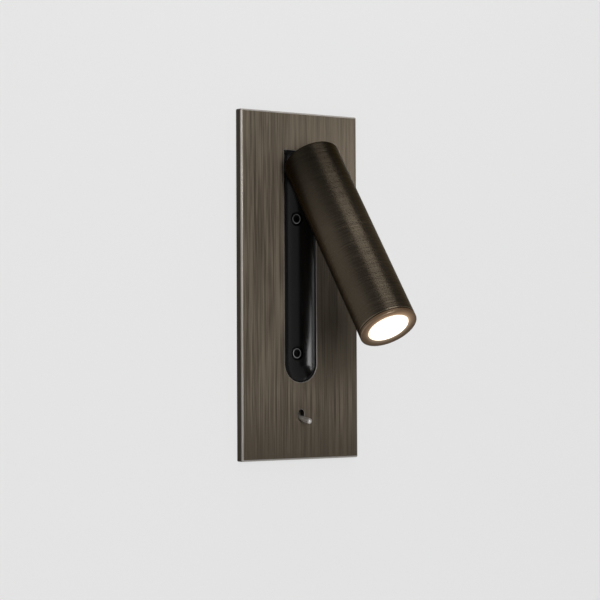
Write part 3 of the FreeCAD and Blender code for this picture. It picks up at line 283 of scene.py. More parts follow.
def smooth(piece):
    """Smooth shading that breaks at real edges and stays flat on flat faces."""
    shape = bmesh.new()
    shape.from_mesh(piece.data)
    bmesh.ops.remove_doubles(shape, verts=shape.verts, dist=SAME_POINT)
    bmesh.ops.dissolve_degenerate(shape, edges=shape.edges, dist=SAME_POINT)
    for face in shape.faces:
        face.smooth = True
    for edge in shape.edges:
        edge.smooth = edge.is_manifold and edge.calc_face_angle(0) < SHARP
    shape.to_mesh(piece.data)
    shape.free()
    weighted = piece.modifiers.new("flat_faces", "WEIGHTED_NORMAL")
    weighted.keep_sharp = True
    weighted.weight = 100


def present(piece, name, body, node, material):
    """Names a finished piece, dresses it and lets it stand for a node of the model."""
    piece.name = name
    piece.data.name = name
    smooth(piece)
    piece.data.materials.clear()
    piece.data.materials.append(material)
    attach(piece, body)
    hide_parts(node)


# ---------------------------------------------------------------- wall plate and bed


def rounded_rectangle(half_width, half_height, radius):
    """An outline at a margin inside a rectangle with round corners."""
    smallest = 0.3

    def outline(margin):
        across, up = half_width - margin, half_height - margin
        turn = max(radius - margin, smallest)
        points = []
        for x, z, start in ((1, 1, 0), (-1, 1, 90), (-1, -1, 180), (1, -1, 270)):
            points += rounded(turn, start, start + 90, (x * (across - turn), z * (up - turn)), steps=6)
        return points

    return outline


def slot_outline(margin):
    """The slot at a margin: square above, round below."""
    half, top = SLOT_HALF - margin, SLOT_TOP - margin
    return [(half, top), (-half, top), *rounded(half, 180, 360, (0, SLOT_CENTRE), steps=64)]


def switch_hole(margin):
    """The switch's opening at a margin: upright, with round ends."""
    half = SWITCH_HOLE_WIDTH / 2 - margin
    rise = (SWITCH_HOLE_HEIGHT - SWITCH_HOLE_WIDTH) / 2
    upper = rounded(half, 0, 180, (0, SWITCH_Z + rise), steps=24)
    lower = rounded(half, 180, 360, (0, SWITCH_Z - rise), steps=24)
    return upper + lower


# The angles at which a rounded edge has its points.
QUARTER = [math.radians(90 * step / ROUND_STEPS) for step in range(ROUND_STEPS + 1)]


def through_plate(outline, radius):
    """A cutter through the plate that rounds the opening's edge at the front."""
    edge = [(FRONT + radius * (1 - math.cos(a)), radius * (math.sin(a) - 1)) for a in QUARTER]
    return loft(along_y(outline, [(FRONT - PAST, -radius), *edge, (0, 0)]))


def front_plate(material):
    """The plate, whose front is rounded at its rim and round its openings."""
    face = rounded_rectangle(PLATE_HALF_WIDTH, PLATE_HALF_HEIGHT, PLATE_CORNER)
    rim = [(FRONT + PLATE_ROUND * (1 - math.sin(a)), PLATE_ROUND * (1 - math.cos(a))) for a in QUARTER]
    plate = loft(along_y(face, [(0, 0), *rim]), "plate")
    inner = rounded_rectangle(PLATE_HALF_WIDTH - PLATE_WALL, PLATE_HALF_HEIGHT - PLATE_WALL, HOLLOW_CORNER)
    hollow = loft(along_y(inner, [(PLATE_BACK, 0), (PAST, 0)]))
    slot = through_plate(slot_outline, SLOT_ROUND)
    hole = through_plate(switch_hole, SWITCH_HOLE_ROUND)
    cut(plate, hollow, slot, hole)
    join(plate, *[rod(STUD_RADIUS, (x, PLATE_BACK - STUD_ROOT, z), STUD_LENGTH) for x, z in STUDS])
    present(plate, "wall_plate", "base", "front_plate", material)


def half_pipe():
    """The cutter of the bed's hollow: a pipe that ends in part of a ball, on the tube's own axis."""
    ball = rounded(PIPE_RADIUS, -90, 0, (0, SLOT_CENTRE), steps=48)[1:]
    profile = [(0, SLOT_CENTRE - PIPE_RADIUS), *ball, (PIPE_RADIUS, PIPE_TOP), (0, PIPE_TOP)]
    return lathe(profile, turns=BED_TURNS, place=at(0, PIVOT.y, 0))


def cradle_trough(material):
    """The black bed that the tube lies in, with the holes for its screws, the switch and the hinge's arm."""
    bed = loft(along_y(slot_outline, [(NOSE_FRONT, BED_GAP), (PLATE_BACK + OVERLAP, BED_GAP)]), "bed")
    start = FLANGE_BACK - OVERLAP
    flange = block((BED_LOW.x, PLATE_BACK, SLOT_END - FLANGE_DROP), (BED_HIGH.x, FLANGE_BACK, BED_HIGH.z))
    shell = block((-SHELL_HALF, start, SLOT_END - SHELL_MORE),
                  (SHELL_HALF, SHELL_BACK, SLOT_TOP + SHELL_MORE))
    hinge = block((-HINGE_HALF, start, PIVOT.z - HINGE_RISE), (HINGE_HALF, BED_BACK, PIVOT.z + HINGE_RISE))
    ledge = block((-LEDGE_HALF, LEDGE_FRONT, LEDGE_LOW), (LEDGE_HALF, LEDGE_BACK, LEDGE_TOP))
    ribs = [block((x - RIB_HALF, start, LEDGE_LOW), (x + RIB_HALF, LEDGE_BACK, SLOT_END)) for x in RIBS]
    bosses = [rod(BOSS_RADIUS, (0, start, z), BED_BACK - start) for z in FIXINGS.values()]
    join(bed, flange, shell, hinge, ledge, *ribs, *bosses)
    seats = [rod(COUNTERBORE, (0, FRONT, z), BED_BACK - FRONT - SCREW_SEAT) for z in FIXINGS.values()]
    holes = [rod(M3_HOLE, (0, FRONT, z), SCREW_DEPTH) for z in FIXINGS.values()]
    window = block((-WINDOW_HALF, FRONT, PIVOT.z - WINDOW_RISE),
                   (WINDOW_HALF, BED_BACK + PAST, PIVOT.z + WINDOW_RISE))
    bush = rod(BUSH_HOLE, (0, 0, SWITCH_Z), BUSH_DEPTH)
    stud_holes = [rod(M3_HOLE, (x, STUD_HOLE_FRONT, z), STUD_HOLE_DEPTH) for x, z in STUDS]
    cut(bed, half_pipe(), *seats, *holes, window, bush, *stud_holes)
    present(bed, "black_bed", "base", "cradle_trough", material)


def fixing_screws(material):
    """Two socket-head screws whose round rims catch the light. Heights are from the top of the head."""
    shank, tip = 1.5, -13.5
    radius, height, rim = 2.75, 3.0, 0.45
    socket, lip, depth, bottom = 1.65, 0.25, 1.6, 1.9
    profile = [(0, tip), (shank, tip), (shank, -height), (radius, -height),
               *rounded(rim, 0, 90, (radius - rim, -rim)),
               *rounded(lip, 90, 180, (socket + lip, -lip), SEAM_STEPS),
               (socket, -depth), (0, -bottom)]
    top = BED_BACK - SCREW_SEAT - height
    for name, z in FIXINGS.items():
        screw = lathe(profile, "screw", FINE_TURNS, at(0, top, z) @ TO_ROOM)
        present(screw, name, "base", "fixing_screws", material)


def switch_lever(material):
    """The toggle's bat and ball, half its travel down from square to the wall."""
    tip, neck, ball = 1.45, 1.15, 2.2
    reach, tail = 15.6, 2.6
    side = math.degrees(math.atan2(math.sqrt(ball ** 2 - neck ** 2), neck))
    profile = [(0, -reach), *rounded(tip, -90, 0, (0, tip - reach), steps=12)[1:],
               *rounded(ball, -side, side, steps=24), (neck, tail), (0, tail)]
    joint = JOINTS["switch_toggle"]
    lean = math.radians(90 - joint["range_deg"][1] / 2)
    place = Matrix.Translation(Vector(joint["pos_m"])) @ Matrix.Rotation(lean, 4, (-1, 0, 0))
    present(lathe(profile, "lever", FINE_TURNS, place), "toggle_bat", "toggle", "switch_lever", material)


# ---------------------------------------------------------------- head


def present_on_head(piece, name, node, material):
    """Tilts a piece with the head before it stands for its node."""
    piece.matrix_world = HEAD
    bpy.context.view_layer.update()
    present(piece, name, "head", node, material)


def side_hole(z):
    """The cutter of a countersunk hole through the tube's rear wall."""
    inside, sunk, beyond = 8, 0.15, 1.5
    top = TUBE_RADIUS - sunk
    profile = ((0, inside), (SIDE_SCREW_HOLE, inside),
               (SIDE_SCREW_HOLE, top - SIDE_SCREW_HEAD + SIDE_SCREW_HOLE),
               (SIDE_SCREW_HEAD + beyond, top + beyond), (0, top + beyond))
    return lathe(profile, turns=FINE_TURNS, place=at(0, 0, z) @ TO_WALL)


def lamp_tube(material):
    """The tube, open behind its upper end for the hinge's arm."""
    bore = TUBE_RADIUS - TUBE_WALL
    profile = [(bore, TUBE_BOTTOM),
               *rounded(SEAM_ROUND, -90, 0, (TUBE_RADIUS - SEAM_ROUND, TUBE_BOTTOM + SEAM_ROUND), SEAM_STEPS),
               (TUBE_RADIUS, TUBE_TOP - CAP_SEAM), (TUBE_RADIUS - CAP_SEAM, TUBE_TOP), (bore, TUBE_TOP)]
    tube = lathe(profile, "tube")
    clevis = block((-CLEVIS_HALF, 0, -CLEVIS_RADIUS), (CLEVIS_HALF, TUBE_RADIUS + PAST, TUBE_TOP + PAST))
    cut(tube, clevis, *[side_hole(z) for z in SIDE_SCREWS])
    present_on_head(tube, "tube", "lamp_tube", material)


def tube_end_cap(material):
    """The cap over the tube's upper end, with four countersunk screw holes."""
    profile = [(0, TUBE_TOP), (TUBE_RADIUS - CAP_SEAM, TUBE_TOP), (TUBE_RADIUS, TUBE_TOP + CAP_SEAM),
               *rounded(HEAD_ROUND, 0, 90, (TUBE_RADIUS - HEAD_ROUND, HEAD_TOP - HEAD_ROUND)), (0, HEAD_TOP)]
    cap = lathe(profile, "cap")
    clevis = block((-CLEVIS_HALF, -CLEVIS_RADIUS, TUBE_TOP - PAST),
                   (CLEVIS_HALF, TUBE_RADIUS + PAST, HEAD_TOP + PAST))
    hole, start, neck, wide, top = 1.05, -1, 4, 2.55, 5.5
    sink = ((0, start), (hole, start), (hole, neck), (wide, top), (0, top))
    inset = 2       # from the tube's bore to a hole's middle
    offset = (TUBE_RADIUS - TUBE_WALL - inset) / math.sqrt(2)
    places = [at(x, y, 0) for x in (-offset, offset) for y in (-offset, offset)]
    cut(cap, clevis, *[lathe(sink, turns=FINE_TURNS, place=place) for place in places])
    present_on_head(cap, "end_cap", "tube_end_cap", material)


def bezel_ring(material):
    """The front ring, whose sleeve slides in the tube."""
    play, wall_size, length = 0.05, 1.1, 8
    slide = TUBE_RADIUS - TUBE_WALL - play
    sleeve = slide - wall_size
    sleeve_top = TUBE_BOTTOM + length
    profile = [(RING_OPENING, RING_LIP), (RING_OPENING, LENS_FACE), (RING_OPENING + RING_DISH, HEAD_BOTTOM),
               *rounded(RING_ROUND, -90, 0, (TUBE_RADIUS - RING_ROUND, HEAD_BOTTOM + RING_ROUND)),
               *rounded(SEAM_ROUND, 0, 90, (TUBE_RADIUS - SEAM_ROUND, TUBE_BOTTOM - SEAM_ROUND), SEAM_STEPS),
               (slide, TUBE_BOTTOM), (slide, sleeve_top), (sleeve, sleeve_top), (sleeve, RING_LIP)]
    present_on_head(lathe(profile, "ring"), "front_ring", "bezel_ring", material)


def lens(material):
    """A frosted disc whose step fills the ring's opening."""
    play = 0.1
    step = RING_OPENING - play
    edge = rounded(SEAM_ROUND, -90, 0, (step - SEAM_ROUND, LENS_FACE + SEAM_ROUND), SEAM_STEPS)
    profile = [(0, LENS_FACE), *edge, (step, RING_LIP), (LENS_RADIUS, RING_LIP), (LENS_RADIUS, LENS_BACK),
               (0, LENS_BACK)]
    present_on_head(lathe(profile, "lens_disc"), "lens_disc", "lens", material)


# ---------------------------------------------------------------- materials


class Nodes:
    """A node tree, with short ways to add to it."""

    def __init__(self, tree):
        self.tree = tree
        self.tree.nodes.clear()

    def add(self, kind, **settings):
        """A node with its plain sockets and its settings given by name."""
        node = self.tree.nodes.new(kind)
        for key, value in settings.items():
            if key in node.inputs:
                node.inputs[key].default_value = value
            else:
                setattr(node, key, value)
        return node

    def link(self, source, target):
        self.tree.links.new(source, target)

    def feed(self, socket, value):
        """Links a socket to another one, or sets it to a plain number or colour."""
        if isinstance(value, bpy.types.NodeSocket):
            self.link(value, socket)
        else:
            socket.default_value = value

    def number(self, operation, *values):
        """A step of arithmetic on sockets or plain numbers."""
        node = self.add("ShaderNodeMath", operation=operation)
        for socket, value in zip(node.inputs, values):
            self.feed(socket, value)
        return node.outputs[0]

    def vector(self, operation, *values):
        """A step of arithmetic on vectors. Its result is the node's Vector or its Value."""
        node = self.add("ShaderNodeVectorMath", operation=operation)
        for socket, value in zip(node.inputs, values):
            self.feed(socket, value)
        return node.outputs

    def point(self):
        """The point on the object, in metres along the object's own axes."""
        return self.add("ShaderNodeTexCoord").outputs["Object"]

    def coordinate(self, axis):
        """How far the point is along one of those axes."""
        apart = self.add("ShaderNodeSeparateXYZ")
        self.link(self.point(), apart.inputs[0])
        return apart.outputs[axis]

    def from_axis(self):
        """The distance from the object's own Z axis, in metres."""
        flat = self.vector("MULTIPLY", self.point(), (1, 1, 0))["Vector"]
        return self.vector("LENGTH", flat)["Value"]

    def facing(self, axis):
        """How squarely the surface faces along an axis of its object: 1 is squarely, 0 is edge-on."""
        normal = self.add("ShaderNodeNewGeometry").outputs["Normal"]
        own = self.add("ShaderNodeVectorTransform", vector_type="NORMAL",
                       convert_from="WORLD", convert_to="OBJECT")
        apart = self.add("ShaderNodeSeparateXYZ")
        self.link(normal, own.inputs[0])
        self.link(own.outputs[0], apart.inputs[0])
        return self.number("ABSOLUTE", apart.outputs[axis])

    def noise(self, scale, detail, roughness):
        """Noise with so many features a metre along each of the object's axes."""
        mapping = self.add("ShaderNodeMapping", Scale=scale)
        node = self.add("ShaderNodeTexNoise", Scale=1.0, Detail=detail, Roughness=roughness)
        self.link(self.point(), mapping.inputs["Vector"])
        self.link(mapping.outputs["Vector"], node.inputs["Vector"])
        return node.outputs["Fac"]

    def ramp(self, source, low, high, out_low, out_high):
        """Goes from one number to another as the source goes from low to high, and no further."""
        node = self.add("ShaderNodeMapRange")
        for socket, value in zip(node.inputs, (source, low, high, out_low, out_high)):
            self.feed(socket, value)
        return node.outputs["Result"]

    def plateau(self, source, low, first, last, high):
        """Rises from 0 at low to 1 at first, stays there until last and falls to 0 again at high."""
        rise = self.ramp(source, low, first, 0, 1)
        fall = self.ramp(source, last, high, 1, 0)
        return self.number("MINIMUM", rise, fall)

    def along(self, axis, low, high, out_low, out_high):
        """A ramp along an axis of the object, between two places in millimetres."""
        return self.ramp(self.coordinate(axis), low * MM, high * MM, out_low, out_high)

    def near(self, spot, low, high, out_low, out_high):
        """A ramp with the distance from a spot on the object, in millimetres."""
        distance = self.vector("DISTANCE", self.point(), Vector(spot) * MM)["Value"]
        return self.ramp(distance, low * MM, high * MM, out_low, out_high)

    def bands(self, *marks):
        """1 in the middle of each (height, reach) in millimetres, and 0 beyond its reach."""
        height = self.coordinate("Z")
        most = None
        for z, reach in marks:
            band = self.plateau(height, (z - reach) * MM, z * MM, z * MM, (z + reach) * MM)
            most = self.number("MAXIMUM", most, band) if most else band
        return most

    def blend(self, one, two, share):
        """A blend of two numbers, with this share of the second."""
        node = self.add("ShaderNodeMix", data_type="FLOAT")
        node.inputs[0].default_value = share
        self.link(one, node.inputs[2])
        self.link(two, node.inputs[3])
        return node.outputs[0]

    def mix(self, factor, one, two):
        """A blend of two colours."""
        node = self.add("ShaderNodeMix", data_type="RGBA")
        self.link(factor, node.inputs[0])
        for socket, colour in ((node.inputs[6], one), (node.inputs[7], two)):
            self.feed(socket, (*colour, 1) if isinstance(colour, tuple) else colour)
        return node.outputs[2]

    def mix_shaders(self, factor, one, two):
        """A blend of two shaders."""
        node = self.add("ShaderNodeMixShader")
        for socket, source in zip(node.inputs, (factor, one, two)):
            self.link(source, socket)
        return node.outputs[0]

    def bump(self, height, strength, distance):
        """Bumps of this height in millimetres."""
        node = self.add("ShaderNodeBump", Strength=strength, Distance=distance * MM)
        self.link(height, node.inputs["Height"])
        return node.outputs["Normal"]

    def round_z(self):
        """The way that brushing goes round the object's own Z axis."""
        return self.add("ShaderNodeTangent", direction_type="RADIAL", axis="Z").outputs[0]

    def surface(self, **sockets):
        """The main shader, whose plain numbers stay on its own sockets."""
        shader = self.add("ShaderNodeBsdfPrincipled")
        for name, value in sockets.items():
            self.feed(shader.inputs[name.replace("_", " ")], value)
        self.output(shader.outputs[0])

    def output(self, shader):
        """Ends a material's tree in this shader."""
        self.link(shader, self.add("ShaderNodeOutputMaterial").inputs[0])


def new_material(name):
    """A material and its empty node tree."""
    material = bpy.data.materials.new(name)
    material.use_nodes = True
    return material, Nodes(material.node_tree)


def shade(colour, factor):
    """A colour made darker or lighter."""
    return tuple(channel * factor for channel in colour[:3])


def brushed_plate():
    """Dark bronze brushed upright: fine streaks of many widths, painted shade on the sides and a painted highlight
    on the rounded edges.
    """
    material, nodes = new_material("bronze_plate")
    colour = COLOURS["bronze_plate"]
    broad = nodes.noise((480, 60, 8), 2, 0.6)
    streaks = nodes.noise((1250, 100, 14), 2, 0.6)
    hairs = nodes.noise((2700, 200, 40), 1, 0.5)
    grain = nodes.blend(streaks, hairs, 0.5)
    tone = nodes.blend(grain, broad, 0.06)
    # Painted sheen: lighter towards the upper right.
    upper_right_sheen = nodes.near((40, FRONT, 62), 6, 60, 0.55, 0)      # at the upper right
    # Painted shadow of the tube, right of the slot.
    tube_shadow = nodes.near((24, FRONT, -30), 12, 34, 0.55, 0)    # right of the slot
    # Painted shade: darker towards the bottom.
    lower_shade = nodes.along("Z", -90, -55, 0.8, 0)
    facing = nodes.facing("Y")
    front = nodes.ramp(facing, 0.0, 0.35, 0, 1)
    corner = nodes.plateau(facing, 0.1, 0.55, 0.95, 0.998)
    face = nodes.mix(nodes.ramp(tone, 0.41, 0.59, 0, 1), shade(colour, 0.70), shade(colour, 1.34))
    face = nodes.mix(upper_right_sheen, face, shade(colour, 2.1))
    face = nodes.mix(tube_shadow, face, shade(colour, 0.42))
    face = nodes.mix(lower_shade, face, shade(colour, 0.62))
    # Painted shade: the sides, edge-on to the front, are darker.
    base = nodes.mix(front, shade(colour, 0.27), face)
    # Painted highlight on the rounded edges, brighter towards the top.
    bright = nodes.mix(nodes.along("Z", -60, 80, 0, 1), shade(EDGE_HIGHLIGHT, 0.75), EDGE_HIGHLIGHT)
    nodes.surface(Base_Color=nodes.mix(corner, base, bright), Metallic=1.0,
                  Roughness=nodes.ramp(grain, 0.4, 0.6, 0.42, 0.58), Anisotropic=0.7,
                  Normal=nodes.bump(grain, 0.4, 0.05), Tangent=nodes.round_z())
    return material


def bronze_round(name, glow=None):
    """Darker bronze brushed round the tube, so that its highlight is crossed by fine bright lines."""
    material, nodes = new_material(name)
    colour = COLOURS["bronze_tube"]
    lines = nodes.noise((9, 9, 1300), 1, 0.5)
    stripes = nodes.noise((7, 7, 560), 2, 0.6)
    clouds = nodes.noise((50, 50, 30), 2, 0.5)
    grain = nodes.blend(lines, stripes, 0.5)
    tone = nodes.blend(grain, clouds, 0.4)
    # Painted shade: darker towards the upper end, where the highlight fades.
    upper_end_shade = nodes.along("Z", -46, -4, 0, 1)
    seam = nodes.bands((TUBE_BOTTOM, 0.35))
    # Painted highlight: brighter bands on the tube just above the seam and on the ring's front corner.
    edges = nodes.bands((TUBE_BOTTOM + 0.65, 0.35), (HEAD_BOTTOM + 0.45, 0.45))
    base = nodes.mix(nodes.ramp(tone, 0.38, 0.62, 0, 1), shade(colour, 0.85), shade(colour, 1.15))
    base = nodes.mix(upper_end_shade, base, shade(colour, 0.42))
    base = nodes.mix(seam, base, shade(colour, 0.2))
    base = nodes.mix(edges, base, shade(colour, 2.8))
    sockets = dict(Base_Color=base, Metallic=1.0, Roughness=nodes.ramp(grain, 0.4, 0.6, 0.29, 0.43),
                   Anisotropic=0.4, Anisotropic_Rotation=0.25, Specular_Tint=(0.5, 0.47, 0.43, 1),
                   Normal=nodes.bump(grain, 0.5, 0.6), Tangent=nodes.round_z())
    # Painted light: an optional glow emitted by the ring.
    if glow:
        sockets.update(Emission_Color=glow(nodes), Emission_Strength=1.0)
    nodes.surface(**sockets)
    return material


def painted_ring_glow(nodes):
    """Painted light: the ring glows warm as if lit by the lens, most at the opening and towards the ring's front
    left.
    """
    radius = nodes.from_axis()
    slope = nodes.ramp(radius, RING_OPENING * MM, (RING_OPENING + RING_DISH) * MM, 0, 1)
    flat = nodes.ramp(radius, (RING_OPENING + RING_DISH) * MM, TUBE_RADIUS * MM, 0, 1)
    outer = nodes.mix(flat, (0.30, 0.19, 0.12), (0.075, 0.042, 0.022))
    warm = nodes.mix(slope, (0.52, 0.38, 0.26), outer)
    return nodes.mix(nodes.near((-5, -11, HEAD_BOTTOM), 6, 20, 0, 0.78), warm, (0, 0, 0))


def gloss_black():
    """Glossy black moulding with a faint ripple."""
    material, nodes = new_material("bed_black")
    ripple = nodes.noise((260, 260, 260), 2, 0.5)
    smudges = nodes.noise((90, 90, 40), 4, 0.6)
    base = nodes.mix(nodes.ramp(smudges, 0.4, 0.7, 0, 1), (0.0035, 0.0032, 0.0032), (0.006, 0.0056, 0.0056))
    nodes.surface(Base_Color=base, Roughness=nodes.ramp(smudges, 0.35, 0.75, 0.16, 0.24), IOR=1.46,
                  Normal=nodes.bump(ripple, 0.06, 0.2))
    return material


def plain_finish(name, roughness, contrast=0.25, bump=0.15, metallic=1.0):
    """Machined, plated or moulded finishes of the smaller pieces."""
    material, nodes = new_material(name)
    colour = COLOURS[name]
    fine = nodes.noise((900, 900, 900), 4, 0.6)
    clouds = nodes.noise((90, 90, 90), 3, 0.6)
    tone = nodes.blend(fine, clouds, 0.4)
    base = nodes.mix(nodes.ramp(tone, 0.35, 0.65, 0, 1),
                     shade(colour, 1 - contrast), shade(colour, 1 + contrast * 0.4))
    rough = nodes.ramp(tone, 0.3, 0.7, roughness * 0.85, min(roughness * 1.2, 1))
    nodes.surface(Base_Color=base, Metallic=metallic, Roughness=rough, Normal=nodes.bump(fine, bump, 0.04))
    return material


def black_screw():
    """Blackened steel with a thin grey ring painted round its rim: a painted highlight."""
    material, nodes = new_material("screw_black")
    fine = nodes.noise((900, 900, 900), 4, 0.6)
    dark = nodes.mix(nodes.ramp(fine, 0.35, 0.65, 0, 1), (0.012, 0.012, 0.013), (0.02, 0.02, 0.021))
    # Painted highlight: the thin grey ring round the head's rim.
    rim = nodes.plateau(nodes.from_axis(), 2.0 * MM, 2.35 * MM, 2.35 * MM, 2.65 * MM)
    nodes.surface(Base_Color=nodes.mix(rim, dark, (0.42, 0.41, 0.41)), Metallic=1.0,
                  Roughness=nodes.ramp(fine, 0.35, 0.65, 0.4, 0.55), Normal=nodes.bump(fine, 0.15, 0.04))
    return material


def lit_lens():
    """A frosted lens lit from behind: white, and warm at its very edge."""
    material, nodes = new_material("lens_glass")
    edge = nodes.ramp(nodes.from_axis(), (RING_OPENING - 2.2) * MM, (RING_OPENING + 0.1) * MM, 0, 1)
    glow = nodes.mix(edge, (1.0, 0.97, 0.92), (0.72, 0.56, 0.38))
    frost = nodes.noise((2500, 2500, 2500), 2, 0.6)
    nodes.surface(Base_Color=(0.9, 0.88, 0.84, 1), Roughness=0.35, Emission_Color=glow, Emission_Strength=1.6,
                  Normal=nodes.bump(frost, 0.2, 0.05))
    return material


PLAIN = {
    "screw_steel": dict(roughness=0.3),
    "lever_nickel": dict(roughness=0.36, metallic=0.65, contrast=0.1, bump=0.05),
    "zinc_steel": dict(roughness=0.42, contrast=0.3),
    "hinge_steel": dict(roughness=0.38),
    "cast_aluminium": dict(roughness=0.4),
    "reflector_silver": dict(roughness=0.12, contrast=0.05, bump=0.03),
    "terminal_metal": dict(roughness=0.3),
    "friction_plastic": dict(roughness=0.45, metallic=0.0, contrast=0.1),
    "board_white": dict(roughness=0.5, metallic=0.0, contrast=0.08),
    "chip_yellow": dict(roughness=0.3, metallic=0.0, contrast=0.1),
    "thermal_grey": dict(roughness=0.8, metallic=0.0, contrast=0.15),
    "switch_plastic": dict(roughness=0.4, metallic=0.0, contrast=0.15),
    "driver_plastic": dict(roughness=0.45, metallic=0.0, contrast=0.06),
    "board_green": dict(roughness=0.35, metallic=0.0, contrast=0.2),
    "transformer_dark": dict(roughness=0.5, metallic=0.0, contrast=0.3),
    "can_black": dict(roughness=0.3, metallic=0.0, contrast=0.2),
    "grommet_rubber": dict(roughness=0.7, metallic=0.0, contrast=0.3),
}


def dress(materials):
    """Gives each node of the model the finish of its slot."""
    for part in frame["record"]["subparts"]:
        mesh = frame["nodes"][part["node"]].data
        mesh.materials.clear()
        mesh.materials.append(materials[part["material_slot"]])


# ---------------------------------------------------------------- stage

ROOM = 1500         # how far the wall and the floor reach, in millimetres
FLOOR_Z = -650
WALL_GAP = 1        # round the wall box
MATT_GREY = 0.74
EVEN_SHARE = 0.75   # how much of the wall and the floor is seen as one even tone


def wall():
    """The wall's face, open where the wall box stands in it and clear from behind."""
    low, high = corners("back_box")
    inner = (low.x - WALL_GAP, high.x + WALL_GAP, low.z - WALL_GAP, high.z + WALL_GAP)
    outer = (-ROOM, ROOM, FLOOR_Z, ROOM)
    shape = bmesh.new()
    rings = []
    for left, right, bottom, top in (inner, outer):
        around = ((left, bottom), (right, bottom), (right, top), (left, top))
        rings.append([shape.verts.new((x, 0, z)) for x, z in around])
    for side in range(4):
        follow = (side + 1) % 4
        shape.faces.new((rings[0][side], rings[1][side], rings[1][follow], rings[0][follow]))
    piece = mesh_object("wall", shape)
    if piece.data.polygons[0].normal.y > 0:
        piece.data.flip_normals()
    return piece


def floor():
    """A floor in front of the wall, well below the lamp."""
    shape = bmesh.new()
    bmesh.ops.create_grid(shape, x_segments=1, y_segments=1, size=ROOM)
    shape.transform(Matrix.Translation((0, -ROOM, FLOOR_Z)))
    return mesh_object("floor", shape)


def set_stage(piece, seen, clear_behind=False):
    """Paints the wall or the floor matt, so that it takes the lamp's shadow.

    What the camera, mirrors and glass see of it is mostly one even tone.
    """
    material, nodes = new_material(piece.name + "_paint")
    matt = nodes.add("ShaderNodeBsdfDiffuse", Color=(MATT_GREY, MATT_GREY, MATT_GREY, 1)).outputs[0]
    even = nodes.add("ShaderNodeEmission", Color=(seen, seen, seen, 1)).outputs[0]
    ray = nodes.add("ShaderNodeLightPath").outputs
    looked_at = nodes.number("MAXIMUM", ray["Is Camera Ray"], ray["Is Glossy Ray"])
    looked_at = nodes.number("MAXIMUM", looked_at, ray["Is Transmission Ray"])
    shown = nodes.mix_shaders(nodes.number("MULTIPLY", looked_at, EVEN_SHARE), matt, even)
    if clear_behind:
        behind = nodes.add("ShaderNodeNewGeometry").outputs["Backfacing"]
        shown = nodes.mix_shaders(behind, shown, nodes.add("ShaderNodeBsdfTransparent").outputs[0])
    nodes.output(shown)
    piece.data.materials.append(material)


def direction(around, up):
    """The way to a place at an angle right of the plate's front and above it, in degrees."""
    around, up = math.radians(around), math.radians(up)
    return Vector((math.cos(up) * math.sin(around), -math.cos(up) * math.cos(around), math.sin(up)))


def softbox(name, around, up, distance, size, brightness):
    """A soft rectangular lamp that points at the object and whose face looks that bright."""
    data = bpy.data.lights.new(name, "AREA")
    data.shape = "RECTANGLE"
    data.size, data.size_y = size
    data.energy = brightness * math.pi * size[0] * size[1]
    place = direction(around, up) * distance
    lamp = bpy.data.objects.new(name, data)
    SCENE.collection.objects.link(lamp)
    lamp.location = place
    lamp.rotation_euler = (-place).to_track_quat("-Z", "Y").to_euler()


def light():
    """Three soft lamps, in an even grey room with one dark part that the brushed metal mirrors."""
    softbox("key", -14, 8, 1.6, (0.40, 1.0), 7.0)
    softbox("side", -30, 10, 1.6, (0.08, 0.9), 3.5)
    softbox("top", 5, 62, 0.5, (0.32, 0.14), 3.2)
    world = bpy.data.worlds.new("world")
    world.use_nodes = True
    SCENE.world = world
    nodes = Nodes(world.node_tree)
    way = nodes.add("ShaderNodeTexCoord").outputs["Generated"]
    dark_side = direction(11, 0)
    dark = nodes.ramp(nodes.vector("DOT_PRODUCT", way, dark_side)["Value"], 0.945, 0.985, 0, 1)
    background = nodes.add("ShaderNodeBackground")
    nodes.link(nodes.mix(dark, (0.24, 0.24, 0.24), (0.008, 0.008, 0.008)), background.inputs["Color"])
    nodes.link(background.outputs[0], nodes.add("ShaderNodeOutputWorld").inputs[0])


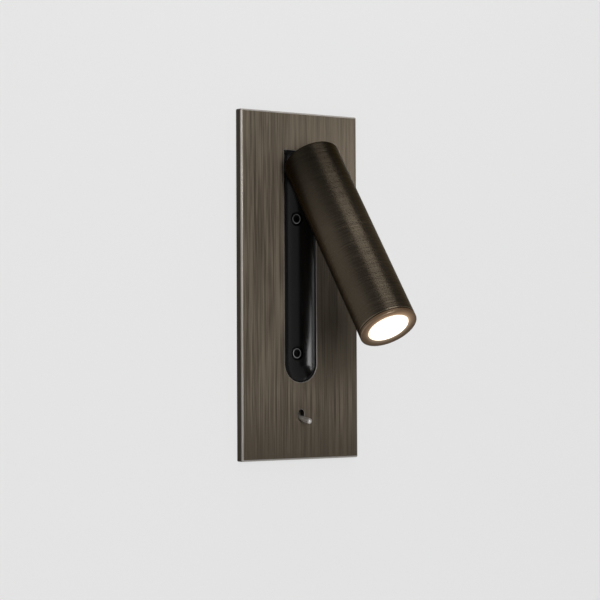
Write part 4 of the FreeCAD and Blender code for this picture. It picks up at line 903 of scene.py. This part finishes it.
# The photograph's camera, in degrees and metres: how it is turned about the upright, pitched up and rolled,
# how far it stands from the middle of the plate's face, and how far it is moved down and left from there.
CAMERA_TURN, CAMERA_PITCH, CAMERA_ROLL = (math.radians(angle) for angle in (35.75, 1.48, 0.26))
CAMERA_DISTANCE = 1.04701
CAMERA_DROP = 0.00737
CAMERA_LEFT = 0.00034
CAMERA_LENS = 121.07


def camera():
    """The camera, at the photograph's viewing angle."""
    ahead = Vector((math.sin(CAMERA_TURN) * math.cos(CAMERA_PITCH),
                    math.cos(CAMERA_TURN) * math.cos(CAMERA_PITCH),
                    math.sin(CAMERA_PITCH)))
    level = Vector((math.cos(CAMERA_TURN), -math.sin(CAMERA_TURN), 0))
    upright = ahead.cross(level)
    right = level * math.cos(CAMERA_ROLL) + upright * math.sin(CAMERA_ROLL)
    down = upright * math.cos(CAMERA_ROLL) - level * math.sin(CAMERA_ROLL)
    data = bpy.data.cameras.new("camera")
    data.lens = CAMERA_LENS
    data.sensor_width = 36
    data.clip_start, data.clip_end = 0.05, 20
    eye = bpy.data.objects.new("camera", data)
    SCENE.collection.objects.link(eye)
    place = at(0, FRONT, 0).translation - ahead * CAMERA_DISTANCE + down * CAMERA_DROP - right * CAMERA_LEFT
    eye.matrix_world = Matrix.Translation(place) @ Matrix((right, -down, -ahead)).transposed().to_4x4()
    SCENE.camera = eye


# ---------------------------------------------------------------- everything


camera()
light()
SCENE.view_settings.view_transform = "Standard"
finishes = {name: plain_finish(name, **settings) for name, settings in PLAIN.items()}
finishes["bronze_plate"] = brushed_plate()
finishes["bronze_tube"] = bronze_round("bronze_tube")
finishes["bed_black"] = gloss_black()
finishes["screw_black"] = black_screw()
finishes["lens_glass"] = lit_lens()
dress(finishes)
front_plate(finishes["bronze_plate"])
cradle_trough(finishes["bed_black"])
fixing_screws(finishes["screw_black"])
switch_lever(finishes["lever_nickel"])
lamp_tube(finishes["bronze_tube"])
tube_end_cap(finishes["bronze_tube"])
bezel_ring(bronze_round("bronze_ring_painted_glow", painted_ring_glow))
lens(finishes["lens_glass"])
set_stage(wall(), seen=0.87, clear_behind=True)
set_stage(floor(), seen=0.8)
